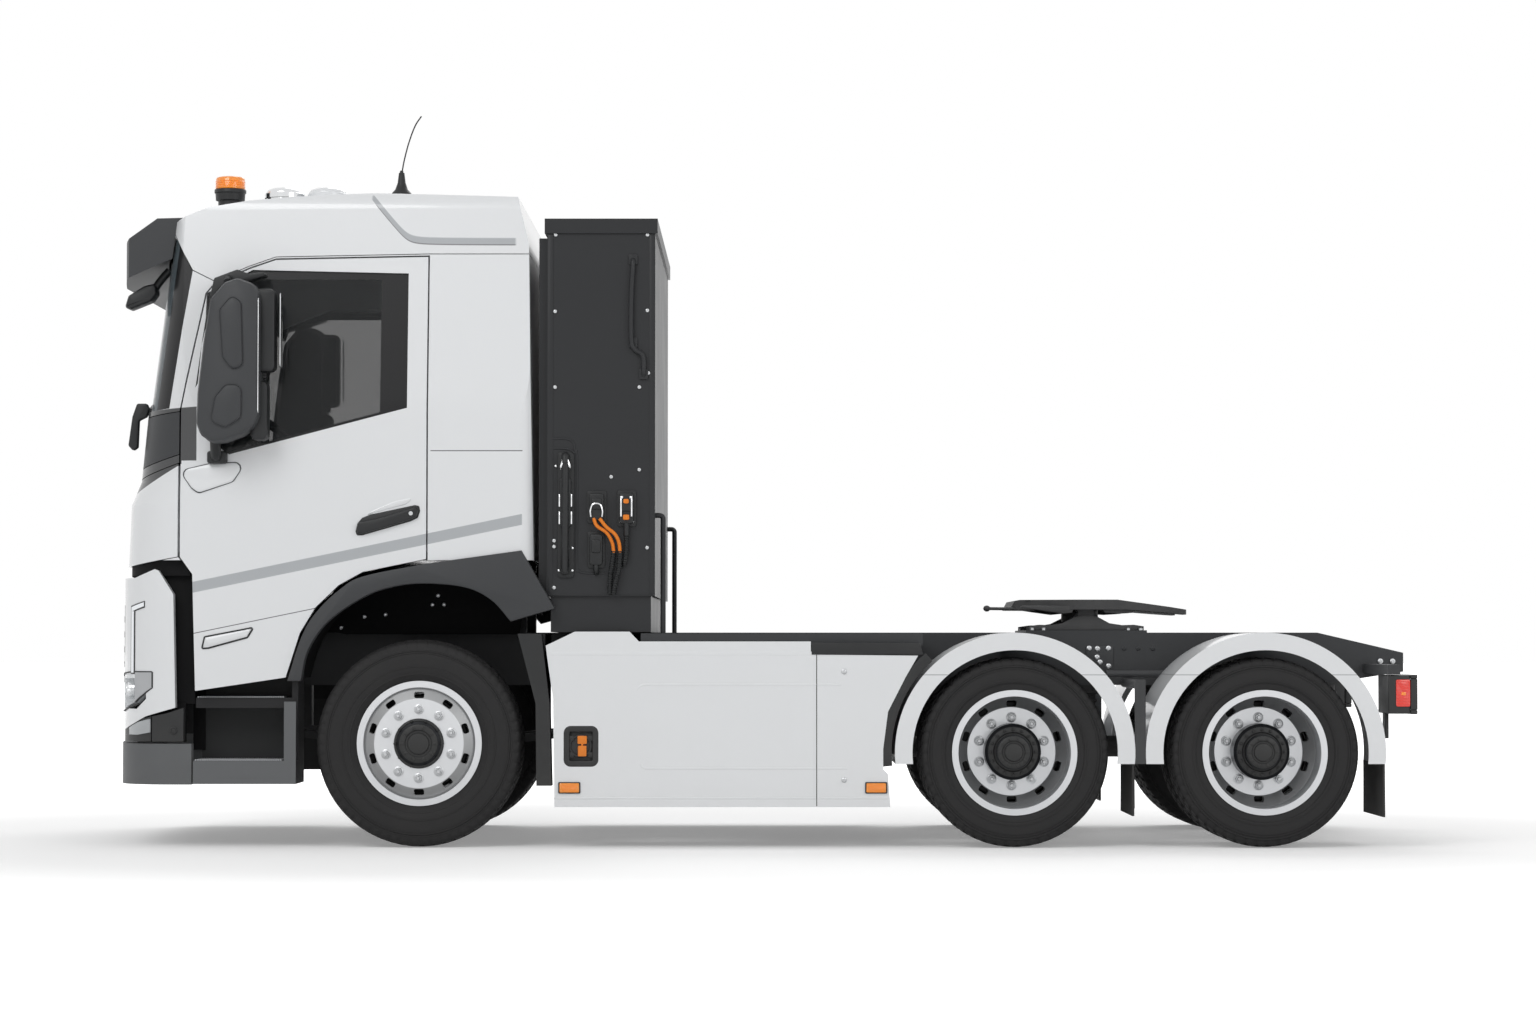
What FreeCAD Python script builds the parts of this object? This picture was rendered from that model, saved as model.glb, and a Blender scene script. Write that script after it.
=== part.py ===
import FreeCAD, Part
import math
import os

import Sketcher

# A battery-electric 6x4 tractor unit. X runs from the nose to the tail, Y to the truck's right, Z up,
# and the origin is on the floor below the middle of the whole truck. Sizes are in millimetres.

SIZES = {
    # running gear
    "front_axle_place": -1682,
    "wheelbase": 2903,
    "bogie_spacing": 1219,
    "front_tyre_radius": 507,
    "front_tyre_width": 312,
    "front_tyre_centre": 1034,
    "rear_tyre_radius": 463,
    "rear_tyre_width": 292,
    "rear_tyre_outer_centre": 1080,
    "rear_tyre_inner_centre": 750,
    "tyre_shoulder": 45,
    "rim_flange_radius": 305,
    "rim_seat_radius": 286,
    "rim_width": 252,
    "rim_wall": 12,
    "seat_gap": 0.3,
    "disc_flat_radius": 217,
    "disc_wall": 14,
    "front_disc_reach": 1182,
    "rear_disc_reach": 928,
    "vent_width": 50,
    "vent_length": 30,
    "vent_ring_radius": 236,
    "hub_radius": 120,
    "front_hub_end": 1206,
    "front_hub_root": 1020,
    "rear_hub_radius": 138,
    "rear_hub_end": 1080,
    "rear_hub_root": 800,
    "rear_cap_radius": 85,
    "rear_cap_end": 1135,
    "spindle_radius": 42,
    "bearing_gap": 0.3,
    # steering
    "kingpin_offset": 880,
    "kingpin_radius": 24,
    "kingpin_gap": 1,
    "axle_eye_radius": 52,
    "axle_eye_height": 110,
    "knuckle_gap": 12,
    "knuckle_ear": 40,
    "knuckle_width": 130,
    "knuckle_plate": 40,
    "steering_arm_reach": 240,
    "steering_arm_width": 40,
    "steering_arm_thick": 24,
    "tie_rod_radius": 16,
    "tie_rod_inset": 100,
    "tie_rod_eye": 34,
    "axle_beam_width": 92,
    "axle_beam_height": 84,
    "axle_beam_drop": 110,
    # frame
    "rail_front": -2850,
    "tail_reach": 805,
    "rail_top": 1050,
    "rail_height": 266,
    "rail_flange": 90,
    "rail_wall": 8,
    "rail_outer": 425,
    "taper_reach": 369,
    "rail_tail_top": 948,
    "rail_tail_height": 96,
    "cross_width": 120,
    "cross_height": 150,
    "tail_beam": 60,
    "axle_tube_radius": 75,
    "axle_housing_radius": 190,
    "axle_housing_width": 260,
    "hanger_beam_length": 900,
    "hanger_beam_width": 110,
    "hanger_beam_height": 60,
    "hanger_beam_centre": 370,
    "bellows_radius": 105,
    "bellows_place": 360,
    "spring_width": 90,
    "spring_length": 1500,
    "spring_thick": 40,
    "spring_rise": 90,
    "drive_unit_length": 700,
    "drive_unit_height": 520,
    "drive_unit_reach": 1161,
    "drive_unit_bottom": 430,
    "shaft_radius": 55,
    # battery tower
    "tower_front": -1061,
    "tower_length": 529,
    "tower_half_width": 1185,
    "tower_bottom": 1225,
    "tower_top": 3073,
    "tower_lid": 72,
    "tower_lid_lip": 12,
    "tower_strip": 41,
    "tower_strip_top": 2981,
    "cradle_inset": 20,
    "cradle_foot_height": 60,
    "connector_tall_height": 530,
    "connector_tall_width": 70,
    "connector_width": 96,
    "connector_height": 150,
    "connector_depth": 55,
    "cable_radius": 15,
    "handrail_radius": 13,
    "handrail_front": -520,
    "handrail_rear": -467,
    "handrail_top": 1622,
    # sides of the frame
    "skirt_face": 1242,
    "skirt_wall": 36,
    "skirt_front": -1061,
    "skirt_length": 1811,
    "skirt_bottom": 200,
    "skirt_height": 852,
    "pack_front": -1000,
    "pack_length": 1560,
    "pack_bottom": 260,
    "pack_top": 985,
    "pack_inner": 470,
    "deck_top": 1044,
    "deck_front": -600,
    "deck_rear": 775,
    "inlet_front": -969,
    "inlet_width": 161,
    "inlet_bottom": 400,
    "inlet_height": 190,
    "inlet_depth": 26,
    "inlet_corner": 30,
    "seam_gap": 8,
    # rear mudguards
    "guard_radius": 584,
    "guard_lip": 85,
    "guard_wall": 10,
    "guard_face": 1242,
    "guard_inner": 606,
    "guard_leg_bottom": 409,
    "flap_wall": 10,
    "flap_one_bottom": 156,
    "flap_two_bottom": 151,
    "stay_radius": 22,
    "lamp_reach": 600,
    "lamp_length": 146,
    "lamp_height": 195,
    "lamp_bottom": 648,
    "lamp_width": 330,
    "lamp_inner": 880,
    # fifth wheel
    "coupling_reach": 416,
    "coupling_top": 1217,
    "coupling_radius": 25.8,
    "coupling_front": 383,
    "coupling_rear": 515,
    "coupling_half_width": 470,
    "coupling_plate": 50,
    "coupling_lip": 25,
    "coupling_pivot": 1112,
    "throat_half_width": 200,
    "throat_slot": 30,
    "base_plate": 12,
    "base_length": 615,
    "pedestal_width": 90,
    "pedestal_centre": 330,
    "pedestal_length": 260,
    "pivot_pin_radius": 20,
    "jaw_height": 60,
    "jaw_radius": 95,
    # lower front and entry
    "nose": -3245,
    "nose_sweep": 219,
    "nose_round": 5600,
    "corner_round": 300,
    "half_width": 1245,
    "bumper_bottom": 309,
    "bumper_height": 198,
    "bumper_wall": 70,
    "lower_front_bottom": 585,
    "lower_front_top": 1325,
    "lower_front_rear": -2840,
    "lower_front_wall": 60,
    "insert_rear": -2820,
    "insert_inner": 460,
    "step_front": -2773,
    "step_rear": -2274,
    "step_bottom": 312,
    "step_height": 400,
    "step_post": 58,
    "step_depth": 330,
    "step_tread": 50,
    "step_tread_low": 375,
    "step_tread_mid": 730,
    "step_tread_high": 1080,
    "step_inner_wall": 30,
    # cab
    "cab_nose": -3220,
    "cab_length": 2100,
    "cab_base": 755,
    "cab_height": 2495,
    "cab_floor": 1400,
    "cab_front_bottom": 1364,
    "cab_wall": 70,
    "floor_wall": 60,
    "waist_height": 2140,
    "roof_half_width": 1130,
    "roof_edge_height": 3215,
    "crown_rise": 85,
    "roof_edge_round": 110,
    "crown_round": 6000,
    "waist_round": 900,
    "rear_corner_round": 70,
    "panel_gap": 8,
    "glass_wall": 8,
    "glass_depth": 12,
    "glass_fit": 0.3,
    "flare_face": 1262,
    "flare_inner": 1190,
    "tilt_place": -3120,
    "tilt_height": 660,
    "tilt_pin_radius": 25,
    "tilt_eye_radius": 35,
    "tilt_arm_width": 56,
    "tilt_arm_offset": 300,
    "tilt_arm_lean": 60,
    "hanger_place": 600,
    "visor_wall": 10,
    "mirror_inner": 1300,
    "mirror_width": 200,
    "mirror_wall": 40,
    "mirror_arm_radius": 16,
    "beacon_radius": 68,
    "beacon_height": 66,
    "beacon_place": -2603,
    "beacon_offset": 800,
    "antenna_place": -1750,
    "antenna_radius": 55,
    "antenna_height": 420,
    "dome_radius": 95,
    "dome_place": -2330,
    "second_dome_place": -2110,
    "column_radius": 30,
    "hand_wheel_radius": 225,
    "hand_wheel_tube": 16,
    "seat_width": 500,
    "overrun": 40,
}

# Outlines seen from the truck's left side, as shares of a box: along the length, then up the height.
ROOF_SHARES = [(1.003, -0.03), (0.998, 0.28), (0.985, 0.88), (0.958, 0.976), (0.616, 0.985),
               (0.465, 0.978), (0.329, 0.968), (0.234, 0.954), (0.15, 0.925)]
WINDOW_SHARES = [(0.341, 0.829), (0.705, 0.822), (0.705, 0.556), (0.293, 0.465), (0.228, 0.502), (0.235, 0.783)]
DOOR_SHARES = [(0.754, 0.858), (0.395, 0.852), (0.334, 0.834), (0.252, 0.804), (0.232, 0.783), (0.176, 0.552),
               (0.176, 0.264), (0.205, 0.23), (0.213, 0.0), (0.429, 0.027), (0.462, 0.115), (0.497, 0.164),
               (0.55, 0.207), (0.606, 0.233), (0.754, 0.258)]
FLARE_OUTER_SHARES = [(0.429, 0.023), (0.462, 0.111), (0.497, 0.160), (0.55, 0.203), (0.606, 0.229),
                      (0.754, 0.254), (0.972, 0.279), (1.049, 0.164), (0.947, 0.139)]
FLARE_INNER_SHARES = [(0.845, 0.213), (0.743, 0.213), (0.606, 0.186), (0.525, 0.139), (0.476, 0.082),
                      (0.462, 0.023)]
VISOR_SHARES = [(0.11, 0.935), (0.205, 0.937), (0.2, 0.923), (0.178, 0.868), (0.015, 0.807), (-0.006, 0.819),
                (-0.009, 0.834), (0.006, 0.872)]
VISOR_INNER_SHARES = [(0.12, 0.922), (0.19, 0.924), (0.16, 0.875), (0.02, 0.82), (0.004, 0.83), (0.02, 0.872)]
COWL_SHARES = [(-0.3, 0.43), (0.0, 0.42), (0.176, 0.464), (0.2, 0.48), (0.2, 0.552), (0.165, 0.549), (0.03, 0.536),
               (-0.3, 0.53)]
WINDSCREEN_SHARES = [(-0.3, 0.545), (0.04, 0.547), (0.15, 0.556), (0.205, 0.848), (0.15, 0.9), (-0.3, 0.9)]
SKIRT_SHARES = [(0.0, 0.92), (0.078, 1.0), (0.225, 1.0), (0.25, 0.944), (0.712, 0.944), (0.712, 0.869),
                (1.0, 0.863), (0.967, 0.743), (0.919, 0.543), (0.906, 0.332), (0.906, 0.217), (0.919, 0.189),
                (0.925, 0.0), (0.024, 0.0), (0.02, 0.615), (0.003, 0.869)]
STEP_GUARD_SHARES = [(0.963, 0.115), (1.005, -0.021), (1.007, -0.181), (1.042, -0.181), (1.037, -0.021),
                     (1.018, 0.115)]
AXLE_BEAM_SHARES = [(-1.0, 0.0), (-0.62, -1.0), (0.62, -1.0), (1.0, 0.0)]
MIRROR_SHARES = [(0.24, 0.805), (0.32, 0.824), (0.345, 0.8), (0.35, 0.6), (0.33, 0.53), (0.29, 0.525), (0.243, 0.56),
                 (0.235, 0.7)]
SMALL_MIRROR_SHARES = [(0.357, 0.79), (0.395, 0.775), (0.4, 0.63), (0.36, 0.615)]
SEAT_SHARES = [(0.47, 0.2827), (0.6, 0.2827), (0.62, 0.36), (0.79, 0.75), (0.74, 0.78), (0.62, 0.5), (0.44, 0.46),
               (0.42, 0.4), (0.47, 0.38)]
DASH_SHARES = [(0.05, 0.2835), (0.2, 0.2835), (0.21, 0.4), (0.27, 0.47), (0.26, 0.51), (0.12, 0.525), (0.05, 0.5)]


class Size:
    """A number together with the sheet formula that gives it, so that sums of sizes stay live."""

    def __init__(self, value, text):
        self.value = value
        self.text = text

    def join(self, other, sign, value, swapped=False):
        first, second = (str_of(other), self.text) if swapped else (self.text, str_of(other))
        return Size(value, f"({first} {sign} {second})")

    def __add__(self, other):
        return self.join(other, "+", self.value + num(other))

    def __radd__(self, other):
        return self.join(other, "+", num(other) + self.value, True)

    def __sub__(self, other):
        return self.join(other, "-", self.value - num(other))

    def __rsub__(self, other):
        return self.join(other, "-", num(other) - self.value, True)

    def __mul__(self, other):
        return self.join(other, "*", self.value * num(other))

    def __rmul__(self, other):
        return self.join(other, "*", num(other) * self.value, True)

    def __truediv__(self, other):
        return self.join(other, "/", self.value / num(other))

    def __neg__(self):
        return Size(-self.value, f"(0 - {self.text})")


def num(size):
    return size.value if isinstance(size, Size) else size


def str_of(size):
    return size.text if isinstance(size, Size) else repr(size)


doc = FreeCAD.newDocument("tractor_unit")
sheet = doc.addObject("Spreadsheet::Sheet", "Sizes")


class Sheet:
    """Every named size, written to a row of the sheet and read back as a Size."""


d = Sheet()
for row, (word, number) in enumerate(SIZES.items(), 1):
    sheet.set(f"A{row}", word)
    sheet.set(f"B{row}", str(number))
    sheet.setAlias(f"B{row}", word)
    setattr(d, word, Size(number, f"Sizes.{word}"))
doc.recompute()

V = FreeCAD.Vector
TURNS = {
    "XY": FreeCAD.Rotation(),
    "XZ": FreeCAD.Rotation(V(1, 0, 0), 90),
    "YZ": FreeCAD.Rotation(V(1, 1, 1), 120),
}
NORMALS = {"XY": V(0, 0, 1), "XZ": V(0, 1, 0), "YZ": V(1, 0, 0)}
NORMAL_NAMES = {"XY": "z", "XZ": "y", "YZ": "x"}
nodes = []


def bind(thing, prop, size):
    """Give a property a size that stays tied to the sheet."""
    thing.setExpression(prop, str_of(size))


def shift(thing, x=0, y=0, z=0):
    """Put a finished piece at its place."""
    for letter, size in zip("xyz", (x, y, z)):
        if isinstance(size, Size):
            bind(thing, f"Placement.Base.{letter}", size)
    return thing


def origin_plane(body, role):
    return next(feature for feature in body.Origin.OriginFeatures if feature.Role == role)


def rounded(corners):
    """The arrival point, departure point and arc of each corner of a closed outline."""
    points = [V(num(c[0]), num(c[1]), 0) for c in corners]
    result = []
    for i, corner in enumerate(corners):
        here, before, after = points[i], points[i - 1], points[(i + 1) % len(points)]
        if len(corner) < 3:
            result.append((here, here, None))
            continue
        back, forth = (before - here).normalize(), (after - here).normalize()
        half = back.getAngle(forth) / 2
        radius = num(corner[2])
        reach = radius / math.tan(half)
        centre = here + (back + forth).normalize() * (radius / math.sin(half))
        start, end = here + back * reach, here + forth * reach
        left = back.cross(forth).z < 0
        first, last = (start, end) if left else (end, start)
        angles = [math.atan2(p.y - centre.y, p.x - centre.x) for p in (first, last)]
        arc = Part.ArcOfCircle(Part.Circle(centre, V(0, 0, 1), radius), *angles)
        result.append((start, end, (arc, left)))
    return result


def draw(shape, corners):
    """Draw a closed outline of lines and corner arcs, with every corner and radius tied to the sheet."""
    ends = rounded(corners)
    count = len(corners)
    lines = [Part.LineSegment(ends[i][1], ends[(i + 1) % count][0]) for i in range(count)]
    shape.addGeometry(lines, False)
    fixed, sized = [], []
    for i, corner in enumerate(corners):
        before = (i - 1) % count
        if ends[i][2]:
            arc, left = ends[i][2]
            bend = shape.addGeometry(arc, False)
            held = shape.addGeometry(Part.Point(V(num(corner[0]), num(corner[1]), 0)), True)
            arrive, leave = (1, 2) if left else (2, 1)
            fixed += [Sketcher.Constraint("Tangent", before, 2, bend, arrive),
                      Sketcher.Constraint("Tangent", i, 1, bend, leave),
                      Sketcher.Constraint("PointOnObject", held, 1, before),
                      Sketcher.Constraint("PointOnObject", held, 1, i)]
            sized.append((Sketcher.Constraint("Radius", bend, num(corner[2])), corner[2]))
        else:
            held = i
            fixed.append(Sketcher.Constraint("Coincident", before, 2, i, 1))
        for kind, size in zip(("DistanceX", "DistanceY"), corner):
            sized.append((Sketcher.Constraint(kind, -1, 1, held, 1, num(size)), size))
    shape.addConstraint(fixed)
    for constraint, size in sized:
        index = shape.addConstraint(constraint)
        if isinstance(size, Size):
            bind(shape, f"Constraints[{index}]", size)


def outline(name, plane, corners, at=0):
    """A free-standing sketch on a plane that lies square to an axis."""
    shape = doc.addObject("Sketcher::SketchObject", name)
    shape.Placement = FreeCAD.Placement(V(0, 0, 0), TURNS[plane])
    if isinstance(at, Size):
        bind(shape, f"Placement.Base.{NORMAL_NAMES[plane]}", at)
    draw(shape, corners)
    return shape


def body_outline(body, name, role, corners):
    """A sketch on one of a body's own planes."""
    shape = body.newObject("Sketcher::SketchObject", name)
    shape.AttachmentSupport = [(origin_plane(body, role), "")]
    shape.MapMode = "FlatFace"
    draw(shape, corners)
    return shape


def prism(name, plane, corners, start, depth):
    """An outline drawn on a plane and carried along the plane's axis."""
    solid = doc.addObject("Part::Extrusion", name)
    solid.Base = outline(f"{name}_outline", plane, corners, start)
    solid.DirMode = "Custom"
    solid.Dir = NORMALS[plane]
    solid.Solid = True
    bind(solid, "LengthFwd", depth)
    return solid


def turned(name, plane, corners, axis, angle=360):
    """An outline turned about an axis through the origin."""
    solid = doc.addObject("Part::Revolution", name)
    solid.Source = outline(f"{name}_outline", plane, corners)
    solid.Axis = axis
    solid.Angle = angle
    solid.Solid = True
    return solid


def loft(name, sections):
    solid = doc.addObject("Part::Loft", name)
    solid.Sections = sections
    solid.Solid = True
    solid.Ruled = True
    return solid


def block(name, low, size):
    solid = doc.addObject("Part::Box", name)
    for prop, length in zip(("Length", "Width", "Height"), size):
        bind(solid, prop, length)
    return shift(solid, *low)


def rod(name, axis, start, radius, length):
    """A round bar from a start point along an axis."""
    solid = doc.addObject("Part::Cylinder", name)
    turns = {"x": FreeCAD.Rotation(V(0, 1, 0), 90), "y": FreeCAD.Rotation(V(1, 0, 0), -90), "z": FreeCAD.Rotation()}
    solid.Placement = FreeCAD.Placement(V(0, 0, 0), turns[axis])
    bind(solid, "Radius", radius)
    bind(solid, "Height", length)
    return shift(solid, *start)


def cut(name, base, *tools):
    for i, tool in enumerate(tools):
        result = doc.addObject("Part::Cut", name if i == len(tools) - 1 else f"{name}_{i}")
        result.Base = base
        result.Tool = tool
        base = result
    return base


def common(name, first, second):
    result = doc.addObject("Part::Common", name)
    result.Base = first
    result.Tool = second
    return result


def fuse(name, *pieces):
    result = doc.addObject("Part::MultiFuse", name)
    result.Shapes = list(pieces)
    return result


def group(name, *pieces):
    result = doc.addObject("Part::Compound", name)
    result.Links = list(pieces)
    return result


def mirrored(name, piece):
    """The same piece on the truck's other side."""
    result = doc.addObject("Part::Mirroring", name)
    result.Source = piece
    result.Normal = V(0, 1, 0)
    return result


def both(name, piece):
    """A piece and its twin on the other side, as one sub-part."""
    return group(name, piece, mirrored(f"{name}_twin", piece))


def pair(name, piece):
    """The left and the right sub-part of a pair."""
    node(f"{name}_left", piece)
    node(f"{name}_right", mirrored(f"{name}_right", piece))


def node(name, piece):
    piece.Label = name
    nodes.append(piece)
    return piece


def spread(shares, origin, span):
    """An outline's points from shares of a box, along its length and up its height."""
    return [(origin[0] + span[0] * a, origin[1] + span[1] * b, *rest) for a, b, *rest in shares]


def cab_points(shares):
    return spread(shares, (d.cab_nose, d.cab_base), (d.cab_length, d.cab_height))


def grown(corners, first, last, along, up=0):
    """The same outline with some of its points moved."""
    return [(x + along, z + up, *rest) if first <= i <= last else (x, z, *rest)
            for i, (x, z, *rest) in enumerate(corners)]


def path_solid(name, points, radius, bend):
    """A round bar or lead along straight runs joined by tangent arcs, worked out from the sizes."""
    spots = [V(*(num(c) for c in p)) for p in points]
    edges, here = [], spots[0]
    for before, corner, after in zip(spots, spots[1:], spots[2:]):
        back, forth = (before - corner).normalize(), (after - corner).normalize()
        half = back.getAngle(forth) / 2
        reach = min(num(bend) / math.tan(half), (before - corner).Length * 0.45, (after - corner).Length * 0.45)
        arc_radius = reach * math.tan(half)
        start, end = corner + back * reach, corner + forth * reach
        toward = (back + forth).normalize()
        middle = corner + toward * (arc_radius / math.sin(half) - arc_radius)
        edges += [Part.LineSegment(here, start).toShape(), Part.Arc(start, middle, end).toShape()]
        here = end
    edges.append(Part.LineSegment(here, spots[-1]).toShape())
    wire = Part.Wire(edges)
    ring = Part.Wire(Part.Circle(spots[0], spots[1] - spots[0], num(radius)).toShape())
    solid = doc.addObject("Part::Feature", name)
    solid.Shape = wire.makePipeShell([ring], True, False)
    return solid


LEFT, RIGHT = -1, 1
rear_axle_one = d.front_axle_place + d.wheelbase
rear_axle_two = rear_axle_one + d.bogie_spacing
rail_rear = rear_axle_two + d.tail_reach
rail_taper_start = rear_axle_two + d.taper_reach
lamp_front = rear_axle_two + d.lamp_reach
coupling_place = rear_axle_one + d.coupling_reach
drive_unit_front = rear_axle_one - d.drive_unit_reach
crown_height = d.roof_edge_height + d.crown_rise


def tyre(name, side, centre, radius, width):
    """A tyre with rounded shoulders, standing on the bead seats of its rim."""
    half, seat = width / 2, d.rim_seat_radius + d.seat_gap
    bead = d.rim_width / 2 - d.rim_wall - d.seat_gap
    wall = (radius + seat) / 2
    flange = d.rim_flange_radius + d.seat_gap
    corners = [(side * (centre - bead), seat), (side * (centre - bead), flange),
               (side * (centre - half), wall, d.tyre_shoulder),
               (side * (centre - half + d.rim_wall), radius, d.tyre_shoulder),
               (side * (centre + half - d.rim_wall), radius, d.tyre_shoulder),
               (side * (centre + half), wall, d.tyre_shoulder), (side * (centre + bead), flange),
               (side * (centre + bead), seat)]
    return turned(name, "YZ", corners, V(0, 1, 0))


def rim_body(name, side, corners):
    """A wheel turned from its section, with a ring of vents cut through the sloping part of its disc."""
    body = doc.addObject("PartDesign::Body", name)
    section = body_outline(body, f"{name}_section", "YZ_Plane", [(side * a, b) for a, b in corners])
    turn = body.newObject("PartDesign::Revolution", f"{name}_turn")
    turn.Profile = section
    turn.ReferenceAxis = (section, ["H_Axis"])
    turn.Angle = 360
    high, low = d.vent_ring_radius + d.vent_length / 2, d.vent_ring_radius - d.vent_length / 2
    wide, corner = d.vent_width / 2, d.vent_length / 3
    vent = body_outline(body, f"{name}_vent", "XZ_Plane",
                        [(-wide, low, corner), (wide, low, corner), (wide, high, corner), (-wide, high, corner)])
    pocket = body.newObject("PartDesign::Pocket", f"{name}_pocket")
    pocket.Profile = vent
    pocket.Type = "ThroughAll"
    pocket.SideType = "Symmetric"
    vents = body.newObject("PartDesign::PolarPattern", f"{name}_vents")
    vents.Originals = [pocket]
    vents.Axis = (origin_plane(body, "Y_Axis"), [""])
    vents.Angle = 360
    vents.Occurrences = 10
    body.Tip = vents
    return body


def front_rim(name, side):
    """The outward-dished front wheel with its hub, bored for the spindle."""
    c, half, wall = d.front_tyre_centre, d.rim_width / 2, d.rim_wall
    face, back = d.front_disc_reach, d.front_disc_reach - d.disc_wall
    barrel = d.rim_seat_radius - wall
    corners = [(c + half, d.rim_flange_radius), (c + half - wall, d.rim_flange_radius),
               (c + half - wall, d.rim_seat_radius), (c - half + wall, d.rim_seat_radius),
               (c - half + wall, d.rim_flange_radius), (c - half, d.rim_flange_radius), (c - half, barrel),
               (c + half * 0.55, barrel), (back, d.disc_flat_radius - wall / 2), (back, d.hub_radius),
               (d.front_hub_root, d.hub_radius), (d.front_hub_root, d.spindle_radius + d.bearing_gap),
               (d.front_disc_reach - d.rim_wall, d.spindle_radius + d.bearing_gap), (d.front_disc_reach - d.rim_wall, 0),
               (d.front_hub_end, 0), (d.front_hub_end, d.hub_radius * 0.8), (face + wall, d.hub_radius),
               (face, d.hub_radius), (face, d.disc_flat_radius), (c + half * 0.9, barrel - wall / 2),
               (c + half, barrel)]
    return rim_body(name, side, corners)


def rear_rims(name, side):
    """The two dished rear wheels back to back on their hub."""
    out, inn, half, wall = d.rear_tyre_outer_centre, d.rear_tyre_inner_centre, d.rim_width / 2, d.rim_wall
    barrel, face, disc = d.rim_seat_radius - wall, d.rear_disc_reach, d.disc_wall
    flat = d.disc_flat_radius
    corners = [(out + half, d.rim_flange_radius), (out + half - wall, d.rim_flange_radius),
               (out + half - wall, d.rim_seat_radius), (out - half + wall, d.rim_seat_radius),
               (out - half + wall, d.rim_flange_radius), (out - half, d.rim_flange_radius), (out - half, barrel),
               (face + disc / 2, flat + disc), (face - disc / 2, flat + disc), (inn + half, barrel),
               (inn + half, d.rim_flange_radius), (inn + half - wall, d.rim_flange_radius),
               (inn + half - wall, d.rim_seat_radius), (inn - half + wall, d.rim_seat_radius),
               (inn - half + wall, d.rim_flange_radius), (inn - half, d.rim_flange_radius), (inn - half, barrel),
               (inn + half * 0.7, barrel), (face - disc * 1.5, flat), (face - disc * 1.5, d.rear_hub_radius),
               (d.rear_hub_root, d.rear_hub_radius), (d.rear_hub_root, d.spindle_radius + d.bearing_gap),
               (d.rear_hub_end - wall, d.spindle_radius + d.bearing_gap), (d.rear_hub_end - wall, 0),
               (d.rear_cap_end, 0), (d.rear_cap_end, d.rear_cap_radius), (d.rear_hub_end, d.rear_cap_radius),
               (d.rear_hub_end, d.rear_hub_radius * 0.9), (d.rear_hub_end - wall, d.rear_hub_radius),
               (face + disc * 1.5, d.rear_hub_radius), (face + disc * 1.5, flat), (out - half * 0.6, barrel),
               (out + half, barrel)]
    return rim_body(name, side, corners)


def wheels():
    for word, side in (("left", LEFT), ("right", RIGHT)):
        front = tyre(f"front_tyre_{word}", side, d.front_tyre_centre, d.front_tyre_radius, d.front_tyre_width)
        node(f"tyre_front_{word}", shift(group(f"front_tyre_{word}_placed", front), d.front_axle_place, 0,
                                         d.front_tyre_radius))
        node(f"rim_front_{word}", shift(front_rim(f"front_rim_{word}", side), d.front_axle_place, 0,
                                        d.front_tyre_radius))
        for number, place in ((1, rear_axle_one), (2, rear_axle_two)):
            tyres = [tyre(f"rear_tyre_{number}_{spot}_{word}", side, centre, d.rear_tyre_radius, d.rear_tyre_width)
                     for spot, centre in (("outer", d.rear_tyre_outer_centre), ("inner", d.rear_tyre_inner_centre))]
            node(f"tyres_rear{number}_{word}", shift(group(f"rear_tyres_{number}_{word}", *tyres), place, 0,
                                                     d.rear_tyre_radius))
            node(f"rims_rear{number}_{word}", shift(rear_rims(f"rear_rims_{number}_{word}", side), place, 0,
                                                    d.rear_tyre_radius))


def knuckle(word, side):
    """A fork round the kingpin, a plate that carries the spindle, and an arm for the tie rod."""
    x, z, k = d.front_axle_place, d.front_tyre_radius, d.kingpin_offset
    half = d.axle_eye_height / 2 + d.knuckle_gap
    wide = d.knuckle_width / 2
    low = block(f"knuckle_low_{word}", (x - wide, side * k - wide, z - half - d.knuckle_ear),
                (d.knuckle_width, d.knuckle_width, d.knuckle_ear))
    high = block(f"knuckle_high_{word}", (x - wide, side * k - wide, z + half),
                 (d.knuckle_width, d.knuckle_width, d.knuckle_ear))
    plate_low = side * k + side * wide + (0 if side > 0 else -1) * d.knuckle_plate
    plate = block(f"knuckle_plate_{word}", (x - wide, plate_low, z - half - d.knuckle_ear),
                  (d.knuckle_width, d.knuckle_plate, (half + d.knuckle_ear) * 2))
    reach = d.front_disc_reach - d.rim_wall * 3 - k - wide
    start = side * (k + wide) if side > 0 else side * (k + wide + reach)
    spindle = rod(f"spindle_{word}", "y", (x, start, z), d.spindle_radius, reach)
    arm_side = side * (k - d.tie_rod_inset / 2) - d.steering_arm_width / 2
    arm = block(f"steering_arm_{word}", (x, arm_side, z - half - d.knuckle_ear - d.steering_arm_thick),
                (d.steering_arm_reach + d.steering_arm_width / 2, d.steering_arm_width, d.steering_arm_thick))
    shelf = block(f"arm_shelf_{word}", (x - wide, side * k - wide, z - half - d.knuckle_ear - d.steering_arm_thick),
                  (d.knuckle_width, d.knuckle_width, d.steering_arm_thick))
    solid = fuse(f"knuckle_blank_{word}", low, high, plate, spindle, arm, shelf)
    bore = rod(f"kingpin_bore_{word}", "z", (x, side * k, z - half * 3), d.kingpin_radius + d.kingpin_gap, half * 6)
    return cut(f"knuckle_{word}_piece", solid, bore)


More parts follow.
